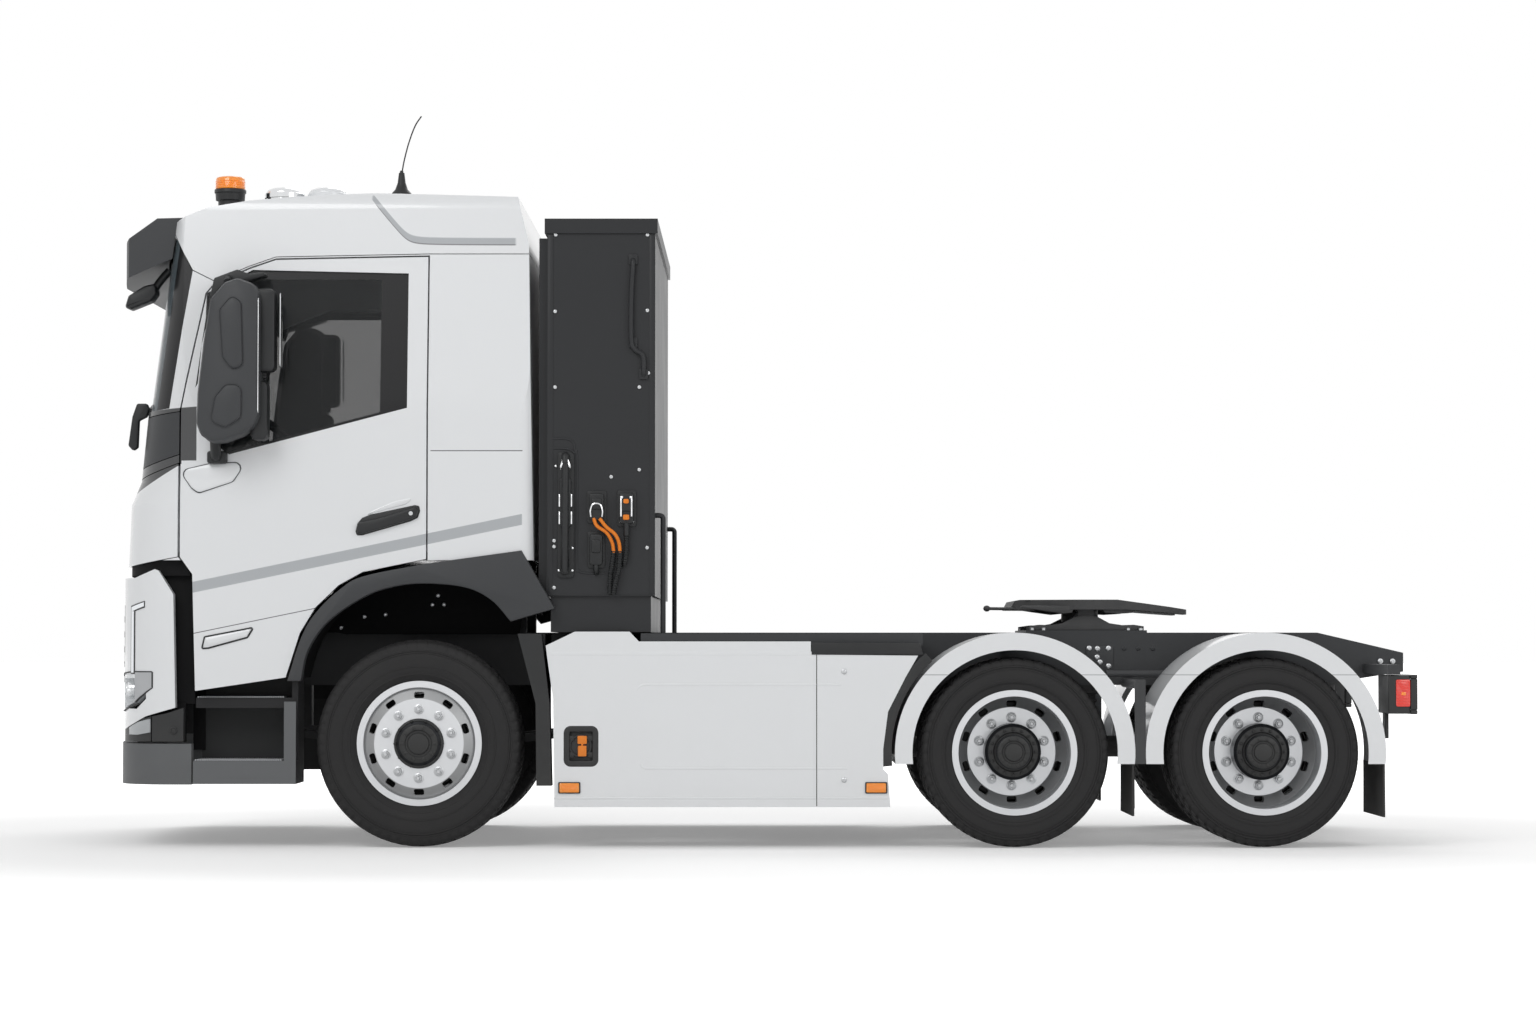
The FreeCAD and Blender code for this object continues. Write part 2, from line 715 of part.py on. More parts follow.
def steering():
    x, z, k = d.front_axle_place, d.front_tyre_radius, d.kingpin_offset
    for word, side in (("left", LEFT), ("right", RIGHT)):
        node(f"knuckle_{word}", knuckle(word, side))
    level = z - d.axle_eye_height / 2 - d.knuckle_gap - d.knuckle_ear - d.steering_arm_thick
    place, end = x + d.steering_arm_reach, k - d.tie_rod_inset / 2
    drop = level - d.tie_rod_eye / 2 - d.seat_gap
    bar = rod("tie_rod_bar", "y", (place, -end, drop), d.tie_rod_radius, end * 2)
    eyes = [rod(f"tie_rod_eye_{word}", "z", (place, side * end, drop - d.tie_rod_eye / 2), d.tie_rod_eye, d.tie_rod_eye)
            for word, side in (("left", LEFT), ("right", RIGHT))]
    node("tie_rod", fuse("tie_rod_piece", bar, *eyes))


def front_axle():
    """A dropped forged beam with an eye and a kingpin at each end."""
    x, z, k = d.front_axle_place, d.front_tyre_radius, d.kingpin_offset
    eye, height = d.axle_eye_radius, d.axle_beam_height
    top = spread(AXLE_BEAM_SHARES, (z * 0, z + height / 2), (k - eye / 2, d.axle_beam_drop))
    bottom = spread(AXLE_BEAM_SHARES, (z * 0, z - height / 2), (k - eye / 2, d.axle_beam_drop))
    beam = prism("axle_beam", "YZ", top + bottom[::-1], x - d.axle_beam_width / 2, d.axle_beam_width)
    pins = []
    for word, side in (("left", LEFT), ("right", RIGHT)):
        reach = d.axle_eye_height / 2 + d.knuckle_gap + d.knuckle_ear
        pins.append(rod(f"axle_eye_{word}", "z", (x, side * k, z - d.axle_eye_height / 2), eye, d.axle_eye_height))
        pins.append(rod(f"kingpin_{word}", "z", (x, side * k, z - reach), d.kingpin_radius, reach * 2))
    node("front_axle", fuse("front_axle_piece", beam, *pins))
    seat = z + height / 2 - d.axle_beam_drop
    middle = d.rail_outer - d.rail_flange / 2
    thick, half = d.spring_thick, d.spring_length / 2
    leaf = prism("front_leaf", "XZ", [(x - half, seat + d.spring_rise), (x, seat), (x + half, seat + d.spring_rise),
                                      (x + half, seat + d.spring_rise + thick), (x, seat + thick),
                                      (x - half, seat + d.spring_rise + thick)],
                 -middle - d.spring_width / 2, d.spring_width)
    rail_bottom = d.rail_top - d.rail_height
    hangers = [block(f"spring_hanger_{i}", (x + side * half - d.spring_width / 2, -middle - d.spring_width / 2,
                                            seat + d.spring_rise),
                     (d.spring_width, d.spring_width, rail_bottom - seat - d.spring_rise))
               for i, side in enumerate((-1, 1))]
    node("front_suspension", both("front_springs", fuse("front_spring", leaf, *hangers)))


CROSS_SHARES = [0.035, 0.30, 0.462, 0.66, 0.79, 0.94]
PACK_BRACKET_SHARES = [0.1, 0.45, 0.85]
LAMP_SHARES = [(0.01, 0.028), (0.1, 0.028), (0.1, -0.012), (0.075, -0.032), (0.01, -0.03)]
LOWER_FRONT_SHARES = [(-0.3, -0.068), (0.041, -0.072), (0.099, -0.046), (0.171, -0.029), (0.165, 0.192),
                      (0.13, 0.238), (0.12, 0.241), (0.068, 0.224), (-0.3, 0.224)]
FRONT_PANEL_SHARES = [(-0.3, 0.244), (0.04, 0.244), (0.176, 0.264), (0.176, 0.449), (0.03, 0.408), (-0.3, 0.408)]
ROOF_REGION_SHARES = [(-0.3, 0.905), (0.15, 0.905), (0.2, 0.828), (0.252, 0.806), (0.334, 0.836), (0.395, 0.854),
                      (0.754, 0.86), (1.1, 0.86), (1.1, 1.1), (-0.3, 1.1)]
CAB_LEVEL_SHARES = [(-0.03, 0.0), (0.244, 0.0), (0.368, 0.006), (0.415, 0.029), (0.546, 0.044), (1.04, 0.121)]


def root(size):
    return Size(math.sqrt(size.value), f"sqrt({size.text})")


def nose_outline(nose, rear, half, inset=0, rear_round=None):
    """The plan of the truck's front: a wide shallow arc between two rounded corners."""
    slope = d.nose_sweep / d.half_width
    apex = nose - (d.nose_round - inset) * (root(slope * slope + 1) - 1)
    shoulder = apex + slope * half
    tail = [rear_round] if rear_round else []
    return [(rear, -half, *tail), (shoulder, -half, d.corner_round - inset), (apex, half * 0, d.nose_round - inset),
            (shoulder, half, d.corner_round - inset), (rear, half, *tail)]


def front_wall(name, nose, rear, half, wall, bottom, height, inset=0):
    """A wall that follows the plan of the nose and both corners, open behind."""
    outer = prism(f"{name}_outer", "XY", nose_outline(nose, rear, half, inset), bottom, height)
    inner = prism(f"{name}_inner", "XY", nose_outline(nose + wall, rear + d.overrun, half - wall, wall + inset),
                  bottom - d.overrun, height + d.overrun * 2)
    return cut(name, outer, inner)


def rail_side(inset):
    """The side of a frame rail: straight, then tapered from above and below towards the tail."""
    low, high = d.rail_top - d.rail_height + inset, d.rail_top - inset
    tail_low, tail_high = d.rail_tail_top - d.rail_tail_height + inset, d.rail_tail_top - inset
    return [(d.rail_front, low), (rail_taper_start, low), (rail_rear, tail_low), (rail_rear, tail_high),
            (rail_taper_start, high), (d.rail_front, high)]


def frame():
    outer = prism("rail_blank", "XZ", rail_side(d.rail_wall * 0), -d.rail_outer, d.rail_flange)
    hollow = prism("rail_hollow", "XZ", grown(grown(rail_side(d.rail_wall), 0, 0, -d.overrun), 5, 5, -d.overrun),
                   -d.rail_outer + d.rail_wall, d.rail_flange)
    rail = cut("rail", outer, hollow)
    length, inner = rail_rear - d.rail_front, d.rail_outer - d.rail_wall
    crosses = [block(f"cross_member_{i}", (d.rail_front + length * share - d.cross_width / 2, -inner,
                                           d.rail_top - d.rail_height / 2 - d.cross_height / 2),
                     (d.cross_width, inner * 2, d.cross_height)) for i, share in enumerate(CROSS_SHARES)]
    tail = block("tail_member", (rail_rear - d.tail_beam, -d.rail_outer, d.rail_tail_top - d.rail_tail_height),
                 (d.tail_beam, d.rail_outer * 2, d.rail_tail_height))
    lamp_bar = block("lamp_bar", (lamp_front, -(d.lamp_inner + d.lamp_width), d.lamp_bottom + d.lamp_height),
                     (d.tail_beam, (d.lamp_inner + d.lamp_width) * 2, d.tail_beam * 0.8))
    node("frame_rails", fuse("frame_piece", rail, mirrored("rail_twin", rail), *crosses, tail, lamp_bar))


def rear_axles():
    """Two driven axles with hanger beams for the air springs, and the shafts that drive them."""
    z = d.rear_tyre_radius
    pieces = []
    for number, x in ((1, rear_axle_one), (2, rear_axle_two)):
        tube = d.rear_hub_root - d.seam_gap * 2
        tip = d.rear_hub_end - d.rim_wall * 3
        pieces += [rod(f"axle_tube_{number}", "y", (x, -tube, z), d.axle_tube_radius, tube * 2),
                   rod(f"axle_spindles_{number}", "y", (x, -tip, z), d.spindle_radius, tip * 2),
                   rod(f"axle_housing_{number}", "x", (x - d.axle_housing_width / 2, 0 * z, z),
                       d.axle_housing_radius, d.axle_housing_width)]
        for word, side in (("left", LEFT), ("right", RIGHT)):
            pieces.append(block(f"hanger_beam_{number}_{word}",
                                (x - d.hanger_beam_length / 2,
                                 side * d.hanger_beam_centre - d.hanger_beam_width / 2,
                                 z + d.axle_tube_radius * 0.8),
                                (d.hanger_beam_length, d.hanger_beam_width, d.hanger_beam_height)))
    unit_end = drive_unit_front + d.drive_unit_length
    pieces.append(rod("drive_shaft", "x", (unit_end, 0 * z, z), d.shaft_radius, rear_axle_one - unit_end))
    pieces.append(rod("link_shaft", "x", (rear_axle_one, 0 * z, z), d.shaft_radius, d.bogie_spacing))
    node("drive_axles", fuse("drive_axles_piece", *pieces))
    low = z + d.axle_tube_radius * 0.8 + d.hanger_beam_height
    bellows = []
    for number, x in ((1, rear_axle_one), (2, rear_axle_two)):
        for end in (-1, 1):
            for side in (-1, 1):
                bellows.append(rod(f"bellows_{number}_{end + 1}_{side + 1}", "z",
                                   (x + end * d.bellows_place, side * d.hanger_beam_centre, low),
                                   d.bellows_radius, d.rail_top - d.rail_height - low))
    node("rear_air_springs", group("air_springs", *bellows))


def drive_unit():
    half = d.rail_outer - d.rail_flange
    node("drive_unit", block("drive_unit_block", (drive_unit_front, -half, d.drive_unit_bottom),
                             (d.drive_unit_length, half * 2, d.drive_unit_height)))


def battery_tower():
    """The tall battery cabinet behind the cab, on its cradle, with plugs and leads on its left side."""
    x, half, low, high = d.tower_front, d.tower_half_width, d.tower_bottom, d.tower_top
    lip = d.tower_lid_lip
    box = block("tower_box", (x, -half, low), (d.tower_length, half * 2, high - low - d.tower_lid))
    lid = block("tower_lid", (x - lip, -half - lip, high - d.tower_lid),
                (d.tower_length + lip * 2, (half + lip) * 2, d.tower_lid))
    strip = block("tower_strip", (x - d.tower_strip, -half + d.tower_strip, low),
                  (d.tower_strip, (half - d.tower_strip) * 2, d.tower_strip_top - low))
    node("battery_tower", fuse("tower_piece", box, lid, strip))
    inset, beam = d.cradle_inset, d.cradle_foot_height
    outer = block("cradle_blank", (x + inset, -half + inset, d.rail_top),
                  (d.tower_length - inset * 2, (half - inset) * 2, low - d.rail_top))
    inner = block("cradle_hollow", (x + inset + beam, -half + inset + beam, d.rail_top - d.overrun),
                  (d.tower_length - (inset + beam) * 2, (half - inset - beam) * 2, low))
    cradle = cut("cradle_piece", outer, inner)
    rail_x = (d.handrail_front + d.handrail_rear) / 2
    wall, rail_y = x + d.tower_length, -half + d.cradle_foot_height
    rail = path_solid("handrail_tube", [(wall, rail_y, d.handrail_top), (rail_x, rail_y, d.handrail_top),
                                        (rail_x, rail_y, d.deck_top)],
                      d.handrail_radius, d.handrail_radius * 3)
    node("tower_cradle", group("cradle_and_rails", cradle, rail, mirrored("handrail_twin", rail)))


def tower_leads():
    """Plug housings on the cabinet's side, with leads that go down to the cradle."""
    x, face, low = d.tower_front, -d.tower_half_width, d.tower_bottom
    deep = d.connector_depth
    wide, high = d.connector_width, d.connector_height
    front_x, rear_x, low_x = x + d.tower_length * 0.37, x + d.tower_length * 0.66, x + d.tower_length * 0.375
    front_z, rear_z, low_z = low + high * 2.4, low + high * 2.2, low + high * 0.55
    boxes = [block("plug_tall", (x + d.connector_tall_width, face - deep, low + high * 0.7),
                   (d.connector_tall_width, deep, d.connector_tall_height)),
             block("plug_front", (front_x, face - deep, front_z), (wide, deep, high)),
             block("plug_rear", (rear_x, face - deep, rear_z), (wide * 0.9, deep, high * 1.15)),
             block("plug_low", (low_x, face - deep, low_z), (wide * 0.65, deep, high * 1.1))]
    node("tower_plugs", group("tower_plugs_group", *boxes))
    out, step = face - deep / 2, d.cable_radius * 2.6
    leads = []
    for i in range(2):
        here, there = front_x + wide * 0.3 + step * i, front_x + wide * 1.15 + step * i
        leads.append(path_solid(f"lead_{i}", [(here, out, front_z), (here, out, front_z - step * (0.9 - i * 0.3)),
                                              (there, out, front_z - step * (2.2 - i * 0.3)), (there, out, low)],
                                d.cable_radius, d.cable_radius * 4))
    leads.append(path_solid("lead_2", [(rear_x + wide * 0.6, out, rear_z), (rear_x + wide * 0.6, out, rear_z - high),
                                       (rear_x + wide * 0.85, out, low + high * 0.5),
                                       (rear_x + wide * 0.85, out, low)],
                            d.cable_radius, d.cable_radius * 4))
    node("tower_leads", group("tower_leads_group", *leads))


def sides():
    """The skirts, the battery packs behind them, the walkway and the charging inlet."""
    face, inner = d.skirt_face, d.skirt_face - d.skirt_wall
    corners = spread(SKIRT_SHARES, (d.skirt_front, d.skirt_bottom), (d.skirt_length, d.skirt_height))
    skirt = prism("skirt_panel", "XZ", corners, -face, d.skirt_wall)
    corner = d.inlet_corner
    right, top = d.inlet_front + d.inlet_width, d.inlet_bottom + d.inlet_height
    recess = prism("inlet_recess", "XZ", [(d.inlet_front, d.inlet_bottom, corner), (right, d.inlet_bottom, corner),
                                          (right, top, corner), (d.inlet_front, top, corner)],
                   -face - d.overrun, d.overrun + d.inlet_depth)
    opened = cut("skirt_opened", skirt, recess)
    node("side_skirts", group("skirt_pair", opened, mirrored("skirt_twin", skirt)))
    gap = d.glass_fit
    inlet = prism("inlet_piece", "XZ", [(d.inlet_front + gap, d.inlet_bottom + gap, corner),
                                        (right - gap, d.inlet_bottom + gap, corner),
                                        (right - gap, top - gap, corner), (d.inlet_front + gap, top - gap, corner)],
                  -face + d.inlet_depth / 2, d.inlet_depth / 2)
    node("charging_inlet", inlet)
    pack = block("pack_block", (d.pack_front, -inner, d.pack_bottom),
                 (d.pack_length, inner - d.pack_inner, d.pack_top - d.pack_bottom))
    brackets = [block(f"pack_bracket_{i}", (d.pack_front + d.pack_length * share, -d.pack_inner,
                                            d.rail_top - d.rail_height * 0.8),
                      (d.cross_width, d.pack_inner - d.rail_outer, d.rail_height * 0.5))
                for i, share in enumerate(PACK_BRACKET_SHARES)]
    node("side_batteries", both("pack_pair", fuse("pack_piece", pack, *brackets)))
    deck = block("deck_plate", (d.deck_front, -inner, d.pack_top),
                 (d.deck_rear - d.deck_front, inner - d.rail_outer - d.seam_gap, d.deck_top - d.pack_top))
    node("deck_plates", both("deck_pair", deck))


def arch(name, x, bottom):
    """One half-round mudguard with a deep outer lip and short straight feet."""
    face, inner, high = d.guard_face, d.guard_inner, d.guard_radius
    lip, wall = d.guard_lip, d.guard_wall
    ring = turned(f"{name}_ring", "YZ", [(-face, high - lip), (-face, high), (-inner, high), (-inner, high - wall),
                                         (-face + wall, high - wall), (-face + wall, high - lip)], V(0, 1, 0))
    below = block(f"{name}_below", (-high - d.overrun, -face - d.overrun, -high - d.overrun),
                  ((high + d.overrun) * 2, face - inner + d.overrun * 2,
                   high + d.overrun - (d.rear_tyre_radius - bottom)))
    half = cut(f"{name}_half", ring, below)
    return shift(group(name, half), x, 0, d.rear_tyre_radius)


def rear_guards():
    z, low = d.rear_tyre_radius, d.guard_leg_bottom
    arches = [arch(f"arch_{i}", x, low) for i, x in ((1, rear_axle_one), (2, rear_axle_two))]
    node("rear_mudguards", both("arch_pairs", group("arches", *arches)))
    stays, high = [], z + d.guard_radius
    for i, x in ((1, rear_axle_one), (2, rear_axle_two)):
        stays.append(block(f"arch_stay_{i}", (x - d.cross_width / 2, -d.guard_inner, high - d.tail_beam),
                           (d.cross_width, d.guard_inner - d.rail_outer, d.tail_beam)))
    gap = d.bogie_spacing - d.guard_radius * 2
    middle = rear_axle_one + d.guard_radius
    stays.append(block("arch_post", (middle, -d.guard_face, low), (gap, d.skirt_wall, d.guard_radius * 0.7)))
    stays.append(rod("post_stay", "y", (middle + gap / 2, -d.guard_face + d.skirt_wall, low + d.guard_radius * 0.66),
                     d.stay_radius, d.guard_face - d.skirt_wall - d.rail_outer))
    node("mudguard_stays", both("stay_pairs", group("stays", *stays)))
    flaps = []
    for i, x, bottom in ((1, rear_axle_one, d.flap_one_bottom), (2, rear_axle_two, d.flap_two_bottom)):
        flaps.append(block(f"flap_{i}", (x + d.guard_radius - d.guard_wall - d.flap_wall * 0.5, -d.guard_face + d.flap_wall,
                                         bottom),
                           (d.flap_wall, d.guard_face - d.guard_inner - d.flap_wall * 2, low - bottom)))
    node("mud_flaps", both("flap_pairs", group("flaps", *flaps)))
    lamp = block("tail_lamp", (lamp_front, -(d.lamp_inner + d.lamp_width), d.lamp_bottom),
                 (d.lamp_length, d.lamp_width, d.lamp_height))
    node("tail_lamps", both("lamp_pair", lamp))


def fifth_wheel():
    """The coupling: a base with two trunnions on the rails, and the rocking plate with its throat and lock."""
    x, top, pivot = coupling_place, d.coupling_top, d.coupling_pivot
    base = block("coupling_base", (x - d.base_length / 2, -d.rail_outer, d.rail_top),
                 (d.base_length, d.rail_outer * 2, d.base_plate))
    half, low = d.pedestal_length / 2, d.rail_top + d.base_plate
    crest = top - d.coupling_plate - d.seam_gap * 1.5
    narrow = d.pivot_pin_radius * 2
    trunnion = prism("trunnion", "XZ", [(x - half, low), (x + half, low), (x + narrow, crest, d.pivot_pin_radius),
                                        (x - narrow, crest, d.pivot_pin_radius)],
                     -d.pedestal_centre - d.pedestal_width / 2, d.pedestal_width)
    bore = rod("trunnion_bore", "y", (x, -d.pedestal_centre - d.pedestal_width, pivot),
               d.pivot_pin_radius + d.kingpin_gap, d.pedestal_width * 2)
    bored = cut("trunnion_bored", trunnion, bore)
    node("fifth_wheel_base", fuse("coupling_base_piece", base, bored, mirrored("trunnion_twin", bored)))

    front, rear, wide = x - d.coupling_front, x + d.coupling_rear, d.coupling_half_width
    thick, lip = d.coupling_plate, d.coupling_lip
    break_x, lip_top = x + d.coupling_rear * 0.3, top - thick - d.coupling_lip
    profile = prism("plate_profile", "XZ", [(front, top - thick), (front + lip, top - thick * 0.1),
                                            (front + thick, top), (break_x, top),
                                            (rear, lip_top + lip), (rear, lip_top), (break_x + thick, top - thick)],
                    -wide, wide * 2)
    plan = prism("plate_plan", "XY", [(front, -wide * 0.7, thick), (x - thick, -wide, thick * 2),
                                      (rear - thick * 2, -wide, thick * 2), (rear, -wide * 0.8, thick),
                                      (rear, wide * 0.8, thick), (rear - thick * 2, wide, thick * 2),
                                      (x - thick, wide, thick * 2), (front, wide * 0.7, thick)],
                 lip_top - d.overrun, top - lip_top + d.overrun * 2)
    slot, mouth = d.throat_slot, d.throat_half_width
    throat = prism("plate_throat", "XY", [(x, -slot), (x + slot * 3, -slot), (rear + d.overrun, -mouth),
                                          (rear + d.overrun, mouth), (x + slot * 3, slot), (x, slot)],
                   lip_top - d.overrun, top - lip_top + d.overrun * 2)
    blank = cut("plate_blank", common("plate_shape", profile, plan), throat)
    jaw = rod("lock_jaw", "z", (x, 0 * x, top - thick - d.jaw_height), d.jaw_radius, d.jaw_height + thick * 0.6)
    pieces = [blank, jaw]
    for word, side in (("left", LEFT), ("right", RIGHT)):
        for spot, offset in (("inner", -1), ("outer", 1)):
            centre = side * (d.pedestal_centre + offset * (d.pedestal_width * 0.5 + d.seam_gap + d.rail_wall * 1.5))
            pieces.append(block(f"lug_{spot}_{word}", (x - narrow, centre - d.rail_wall * 1.5, pivot - narrow * 0.45),
                                (narrow * 2, d.rail_wall * 3, top - thick * 0.5 - pivot + narrow * 0.45)))
        pieces.append(rod(f"pivot_pin_{word}", "y", (x, side * d.pedestal_centre - d.pedestal_width * 0.7, pivot),
                          d.pivot_pin_radius, d.pedestal_width * 1.4))
    solid = fuse("plate_solid", *pieces)
    kingpin = rod("kingpin_bore", "z", (x, 0 * x, top - thick * 5), d.coupling_radius, thick * 8)
    node("fifth_wheel_plate", cut("plate_piece", solid, kingpin))


def lower_front():
    """The bumper, the black insert above it, and the white lower front with its lamps."""
    rear = d.step_front - d.panel_gap
    bumper = front_wall("bumper_wall_ring", d.nose, rear, d.half_width, d.bumper_wall, d.bumper_bottom, d.bumper_height)
    arms = []
    for word, side in (("left", LEFT), ("right", RIGHT)):
        middle = side * (d.rail_outer - d.rail_flange / 2) - d.rail_flange / 2
        low = d.bumper_bottom + d.bumper_height * 0.4
        arms.append(block(f"bumper_arm_{word}", (d.nose + d.bumper_wall * 0.8, middle, low),
                          (d.rail_front - d.nose, d.rail_flange, d.tail_beam)))
        arms.append(block(f"bumper_drop_{word}", (d.rail_front, middle, low),
                          (d.tail_beam, d.rail_flange, d.rail_top - d.rail_height - low)))
    node("bumper", fuse("bumper_piece", bumper, *arms))
    low, high = d.bumper_bottom + d.bumper_height + d.panel_gap, d.lower_front_bottom + d.cross_width
    inset = d.lower_front_wall + d.rail_wall + d.seat_gap
    ring = front_wall("insert_ring", d.nose + inset, d.insert_rear, d.half_width - inset, d.lower_front_wall * 0.6, low,
                      high - low, inset)
    insert = cut("insert_pair", ring, block("insert_middle", (d.nose, -d.insert_inner, low - d.overrun),
                                            (d.cab_length, d.insert_inner * 2, high - low + d.overrun * 2)))
    below = cab_points(LOWER_FRONT_SHARES)
    whole = prism("lower_front_side", "XZ", below, -d.half_width * 1.2, d.half_width * 2.4)
    panel = front_wall("lower_front_ring", d.nose + d.rail_wall, d.lower_front_rear, d.half_width, d.lower_front_wall,
                       d.lower_front_bottom - d.cross_width, d.lower_front_top - d.lower_front_bottom + d.cross_width * 3)
    trimmed = common("lower_front_trimmed", panel, whole)
    lens_side = prism("lens_side", "XZ", cab_points(LAMP_SHARES), -d.half_width * 1.2, d.half_width * 2.4)
    middle = block("lens_middle", (d.nose - d.overrun, -d.half_width * 0.72, d.lower_front_bottom * 0.5),
                   (d.cab_length, d.half_width * 1.44, d.lower_front_top))
    lens_zone = cut("lens_zone", lens_side, middle)
    node("headlamps", common("headlamp_pair", lens_zone, trimmed))
    node("lower_front_panel", cut("lower_front_piece", trimmed, lens_zone))
    node("lower_front_insert", insert)


def entry_steps():
    """The step well under each door: treads between an inner and a rear wall, with a post at its rear edge."""
    face, deep, wall = d.half_width, d.step_depth, d.step_inner_wall
    front, rear = d.step_front, d.step_rear
    inside = face - d.cab_wall - d.panel_gap * 2
    tread = block("tread_low", (front, -face, d.step_bottom), (rear - front, deep, d.step_tread_low + d.step_tread
                                                              - d.step_bottom))
    post = block("step_post_block", (rear - d.step_post, -face, d.step_bottom), (d.step_post, wall, d.step_height))
    inner = block("step_inner", (front, -face + deep - wall, d.step_bottom),
                  (rear - front, wall, d.cab_floor - d.step_bottom - d.tail_beam))
    back = block("step_back", (rear - wall, -inside, d.step_bottom),
                 (wall, inside - face + deep, d.cab_floor - d.step_bottom - d.tail_beam))
    treads = [block(f"tread_{i}", (front, -inside, height - d.step_tread), (rear - front, inside - face + deep,
                                                                           d.step_tread))
              for i, height in enumerate((d.step_tread_mid, d.step_tread_high))]
    arm = block("step_arm", (front + (rear - front) / 2, -face + deep, d.rail_top - d.rail_height * 0.8),
                (d.cross_width, face - deep - d.rail_outer, d.rail_height * 0.5))
    node("entry_steps", both("step_pair", fuse("step_piece", tread, post, inner, back, *treads, arm)))
    corners = cab_points(STEP_GUARD_SHARES)
    outer = prism("guard_edge", "XZ", corners, -face, d.cross_width)
    sheet_x = d.front_axle_place + d.guard_radius + d.seam_gap * 2
    sheet_low = d.cab_base - d.cab_height * 0.181
    sheet_high = d.cab_base + d.cab_height * 0.115
    plate = block("guard_sheet", (sheet_x, -face + d.cross_width * 0.9, sheet_low),
                  (d.rim_wall, face - d.cross_width - d.guard_inner, sheet_high - sheet_low))
    hold = block("guard_hold", (sheet_x, -d.guard_inner - d.cross_width, d.rail_top - d.rail_height * 0.8),
                 (d.rim_wall, d.guard_inner + d.cross_width - d.rail_outer, d.rail_height * 0.4))
    node("front_mudguards", both("guard_pair", fuse("guard_piece", outer, plate, hold)))


def cab_solid(name, inset):
    """The whole cab's form, or the same form drawn in by a wall: stacked plans, trimmed in side and end view."""
    levels = []
    for i, (rise, back) in enumerate(CAB_LEVEL_SHARES):
        nose = d.cab_nose + d.cab_length * back + inset
        plan = nose_outline(nose, d.cab_nose + d.cab_length - inset, d.half_width - inset, inset,
                            d.rear_corner_round - inset * 0.4)
        levels.append(outline(f"{name}_level_{i}", "XY", plan, d.cab_base + d.cab_height * rise))
    stack = loft(f"{name}_stack", levels)
    corners = spread(ROOF_SHARES, (d.cab_nose + inset, d.cab_base), (d.cab_length - inset * 2, d.cab_height - inset))
    ahead = [(d.cab_nose - d.cab_length * 0.2, d.cab_base + d.cab_height * 0.8),
             (d.cab_nose - d.cab_length * 0.2, d.cab_base - d.cab_height * 0.03)]
    side = prism(f"{name}_side", "XZ", corners + ahead, -d.half_width * 1.1, d.half_width * 2.2)
    low, half, top = d.cab_base - d.cab_height * 0.05, d.half_width - inset, d.roof_half_width - inset
    edge, crown = d.roof_edge_height - inset, crown_height - inset
    end = prism(f"{name}_end", "YZ", [(-half, low), (half, low), (half, d.waist_height, d.waist_round),
                                      (top, edge, d.roof_edge_round), (0 * top, crown, d.crown_round),
                                      (-top, edge, d.roof_edge_round), (-half, d.waist_height, d.waist_round)],
                d.cab_nose * 1.2, d.cab_length * 2)
    return common(name, common(f"{name}_trimmed", stack, side), end)


def region(name, shares, shrink=None):
    """A side outline carried across the whole width, drawn in by a gap where one is given."""
    start, depth = -d.half_width * 1.2, d.half_width * 2.4
    if shrink is None:
        return prism(name, "XZ", cab_points(shares), start, depth)
    drawn = outline(f"{name}_outline", "XZ", cab_points(shares), start)
    inner = doc.addObject("Part::Offset2D", f"{name}_inner")
    inner.Source = drawn
    inner.Join = 2
    bind(inner, "Value", 0 - shrink)
    solid = doc.addObject("Part::Extrusion", name)
    solid.Base = inner
    solid.DirMode = "Custom"
    solid.Dir = NORMALS["XZ"]
    solid.Solid = True
    bind(solid, "LengthFwd", depth)
    return solid


def half_space(name, side):
    """A block that holds everything on one side of the truck."""
    wide = d.half_width * 1.3
    return block(name, (d.nose * 1.2, -wide if side < 0 else 0 * wide, 0 * wide), (d.cab_length * 2, wide,
                                                                                  crown_height * 1.1))


